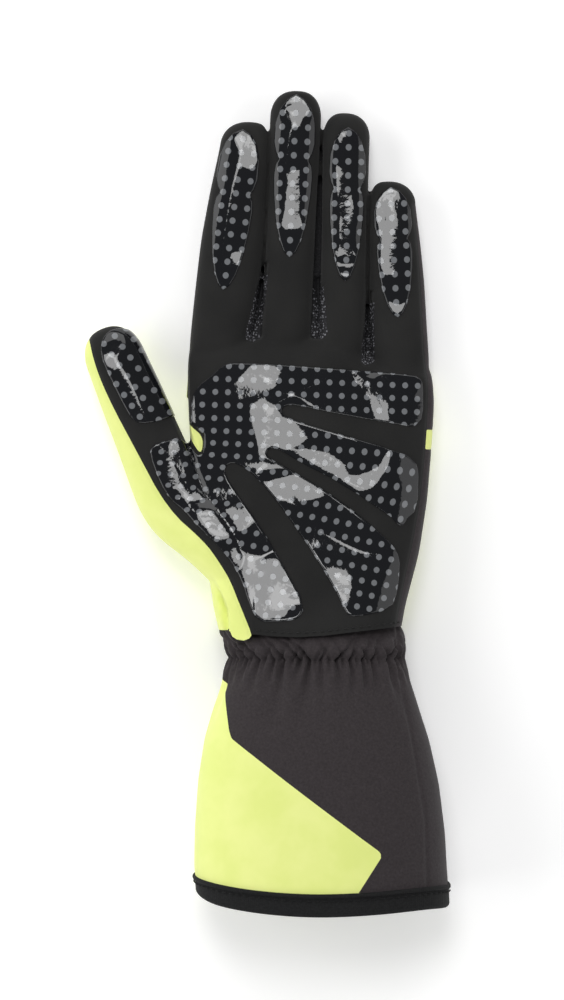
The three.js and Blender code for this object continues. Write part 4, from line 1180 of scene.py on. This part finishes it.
def grip_gloss(tree):
    """Grey dots, one in the middle of each cell, under a clear coat."""
    dots = add(tree, "Attribute", {}, attribute_name="dots").outputs["Vector"]
    cell = add(tree, "VectorMath", {0: dots}, operation="FRACTION").outputs[0]
    off = add(tree, "VectorMath", {0: cell, 1: (0.5, 0.5, 0.0)}, operation="SUBTRACT").outputs[0]
    far = add(tree, "VectorMath", {0: off}, operation="LENGTH").outputs["Value"]
    return {
        "Base Color": mixed(far, (0.155, 0.162, 0.172), (0.0062, 0.0068, 0.0085), 0.215, 0.245),
        "Roughness": 0.5,
        "Specular IOR Level": 0.0,
        "Coat Weight": 1.0,
        "Coat Roughness": 0.04,
        "Coat IOR": 1.5,
        "Coat Normal": bumped(noise(places(tree), 0.55, 2, 0.5), 0.22, 0.12),
    }


def binding(tree):
    at = places(tree)
    return {
        "Base Color": mixed(noise(at, 1.6, 3, 0.6), (0.0045, 0.0047, 0.005), (0.0105, 0.0108, 0.0113)),
        "Roughness": 0.85,
        "Specular IOR Level": 0.25,
        "Normal": bumped(weave(at, 0.7, 0), 0.12, 0.6),
    }


# Stitches


def stitches(path, ups, long=2.0, gap=0.8, thick=0.24):
    """Short threads along a line of points, each one sinking into the cloth at its ends."""
    far = np.concatenate([[0], np.cumsum(np.linalg.norm(np.diff(path, axis=0), axis=1))])
    turns = np.arange(8) * math.pi / 4
    bow = np.sin(np.linspace(0.1, math.pi - 0.1, 6))[:, None]
    reach = thick * (0.35 + 0.65 * bow)
    forms = []
    for start in np.arange(0.3, far[-1] - long, long + gap):
        at = start + long * np.linspace(0, 1, len(bow))
        p, n = (np.column_stack([np.interp(at, far, v[:, c]) for c in range(3)]) for v in (path, ups))
        way = np.gradient(p, axis=0)
        side = np.cross(n, way / np.linalg.norm(way, axis=1)[:, None])
        p = p + thick * n * (1.3 * bow - 0.5)
        round_it = zip(p, reach, side, n)
        rings = [q + r * (np.outer(np.cos(turns), s) + np.outer(np.sin(turns), u)) for q, r, s, u in round_it]
        forms.append(closed(rings))
    return joined(forms)


def palm_line():
    """The stitched line on the palm's hem, and which way the cloth faces along it."""
    x = np.linspace(-21.5, 30, 60)
    line = np.column_stack([x, palm_hem(x) + 1.5])
    facing = normals_of(hand_points, hand_faces)
    up = facing[:, 2] > 0.3
    points, facing = hand_points[up], facing[up]
    nearest = [np.argmin(np.hypot(*(points[:, :2] - q).T)) for q in line]
    return np.column_stack([line, points[nearest, 2]]), facing[nearest]


def hem_line():
    """The same on the binding."""
    ring = cuff_points(0.62, np.array([-HEM_TOP - 1.3]), 360, folds=False)[0]
    ring = np.vstack([ring, ring[:1]])
    x, _, z = (ring - ring.mean(axis=0)).T
    out = np.column_stack([x / (CUFF_WIDTH / 2) ** 2, 0 * x, z / (CUFF_DEPTH / 2) ** 2])
    return ring, out / np.linalg.norm(out, axis=1)[:, None]


STITCHED = {"palm_panel": palm_line, "hem_binding": hem_line}

# The pieces


LOOKS = [suede, bright_cloth, dark_cloth, knit, grip_gloss, binding]
MATERIALS = {build.__name__: material(build.__name__, build) for build in LOOKS}
SLOTS = {s["node"]: s["material_slot"] for s in frame["record"]["subparts"]}


def show(node, points, faces, dots=None):
    thing = object_from(points, faces, node + "_look")
    if dots is not None:
        held = thing.data.attributes.new("dots", "FLOAT_VECTOR", "POINT")
        held.data.foreach_set("vector", dots.astype(np.float32).ravel())
    slot = SLOTS[node]
    thing.data.materials.append(MATERIALS[slot])
    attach(thing, "root")
    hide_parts(node)


for node, piece in {**hand_pieces(), **cuff_pieces(), **hem_pieces()}.items():
    if node in STITCHED:
        piece = joined([piece, stitches(*STITCHED[node]())])
    show(node, *piece)
for node, piece in grips().items():
    show(node, *piece)

# Floor, light and camera

SIDE, BELOW = 4, -0.0004
corners = [(x, y, BELOW) for x, y in ((-SIDE, -SIDE), (SIDE, -SIDE), (SIDE, SIDE), (-SIDE, SIDE))]
floor_mesh = bpy.data.meshes.new("floor")
floor_mesh.from_pydata(corners, [], [(0, 1, 2, 3)])
floor = bpy.data.objects.new("floor", floor_mesh)
bpy.context.scene.collection.objects.link(floor)
PLAIN = {
    "Base Color": (0.96, 0.96, 0.96, 1),
    "Roughness": 1.0,
    "Specular IOR Level": 0.0,
    "Emission Color": (1, 1, 1, 1),
    "Emission Strength": 0.2,
}
floor.data.materials.append(material("floor", lambda tree: PLAIN))

world = bpy.data.worlds.new("studio")
bpy.context.scene.world = world
world.use_nodes = True
feed(world.node_tree.nodes["Background"], {"Color": (1, 1, 1, 1), "Strength": 0.17})


def softbox(name, place, size, radiance):
    """A rectangular light that faces the glove; size is its width and height in metres."""
    lamp = bpy.data.lights.new(name, "AREA")
    lamp.shape = "RECTANGLE"
    lamp.size, lamp.size_y = size
    lamp.energy = radiance * math.pi * size[0] * size[1]
    thing = bpy.data.objects.new(name, lamp)
    thing.location = place
    thing.rotation_euler = (-Vector(place)).to_track_quat("-Z", "Y").to_euler()
    bpy.context.scene.collection.objects.link(thing)


softbox("key", KEY, KEY_SIZE, 7)
softbox("key_core", tuple(0.99 * v for v in KEY), (0.35, 0.4), 4)
softbox("left", (-2.2, 0.2, 1.2), (2.2, 2.2), 2.3)
softbox("right", (2.2, -0.2, 1.2), (2.2, 2.2), 1.1)
softbox("far", (0, 2.4, 1.2), (2.2, 1.6), 2.0)
softbox("near", (0, -2.4, 1.2), (2.2, 1.6), 2.0)

lens = bpy.data.cameras.new("camera")
lens.lens = LENS
lens.sensor_width = SENSOR
lens.sensor_fit = "AUTO"
lens.clip_start, lens.clip_end = 0.05, 20
camera = bpy.data.objects.new("camera", lens)
camera.location = CAMERA
camera.rotation_euler = (0, 0, 0)
bpy.context.scene.collection.objects.link(camera)
bpy.context.scene.camera = camera
bpy.context.scene.view_settings.view_transform = "Standard"
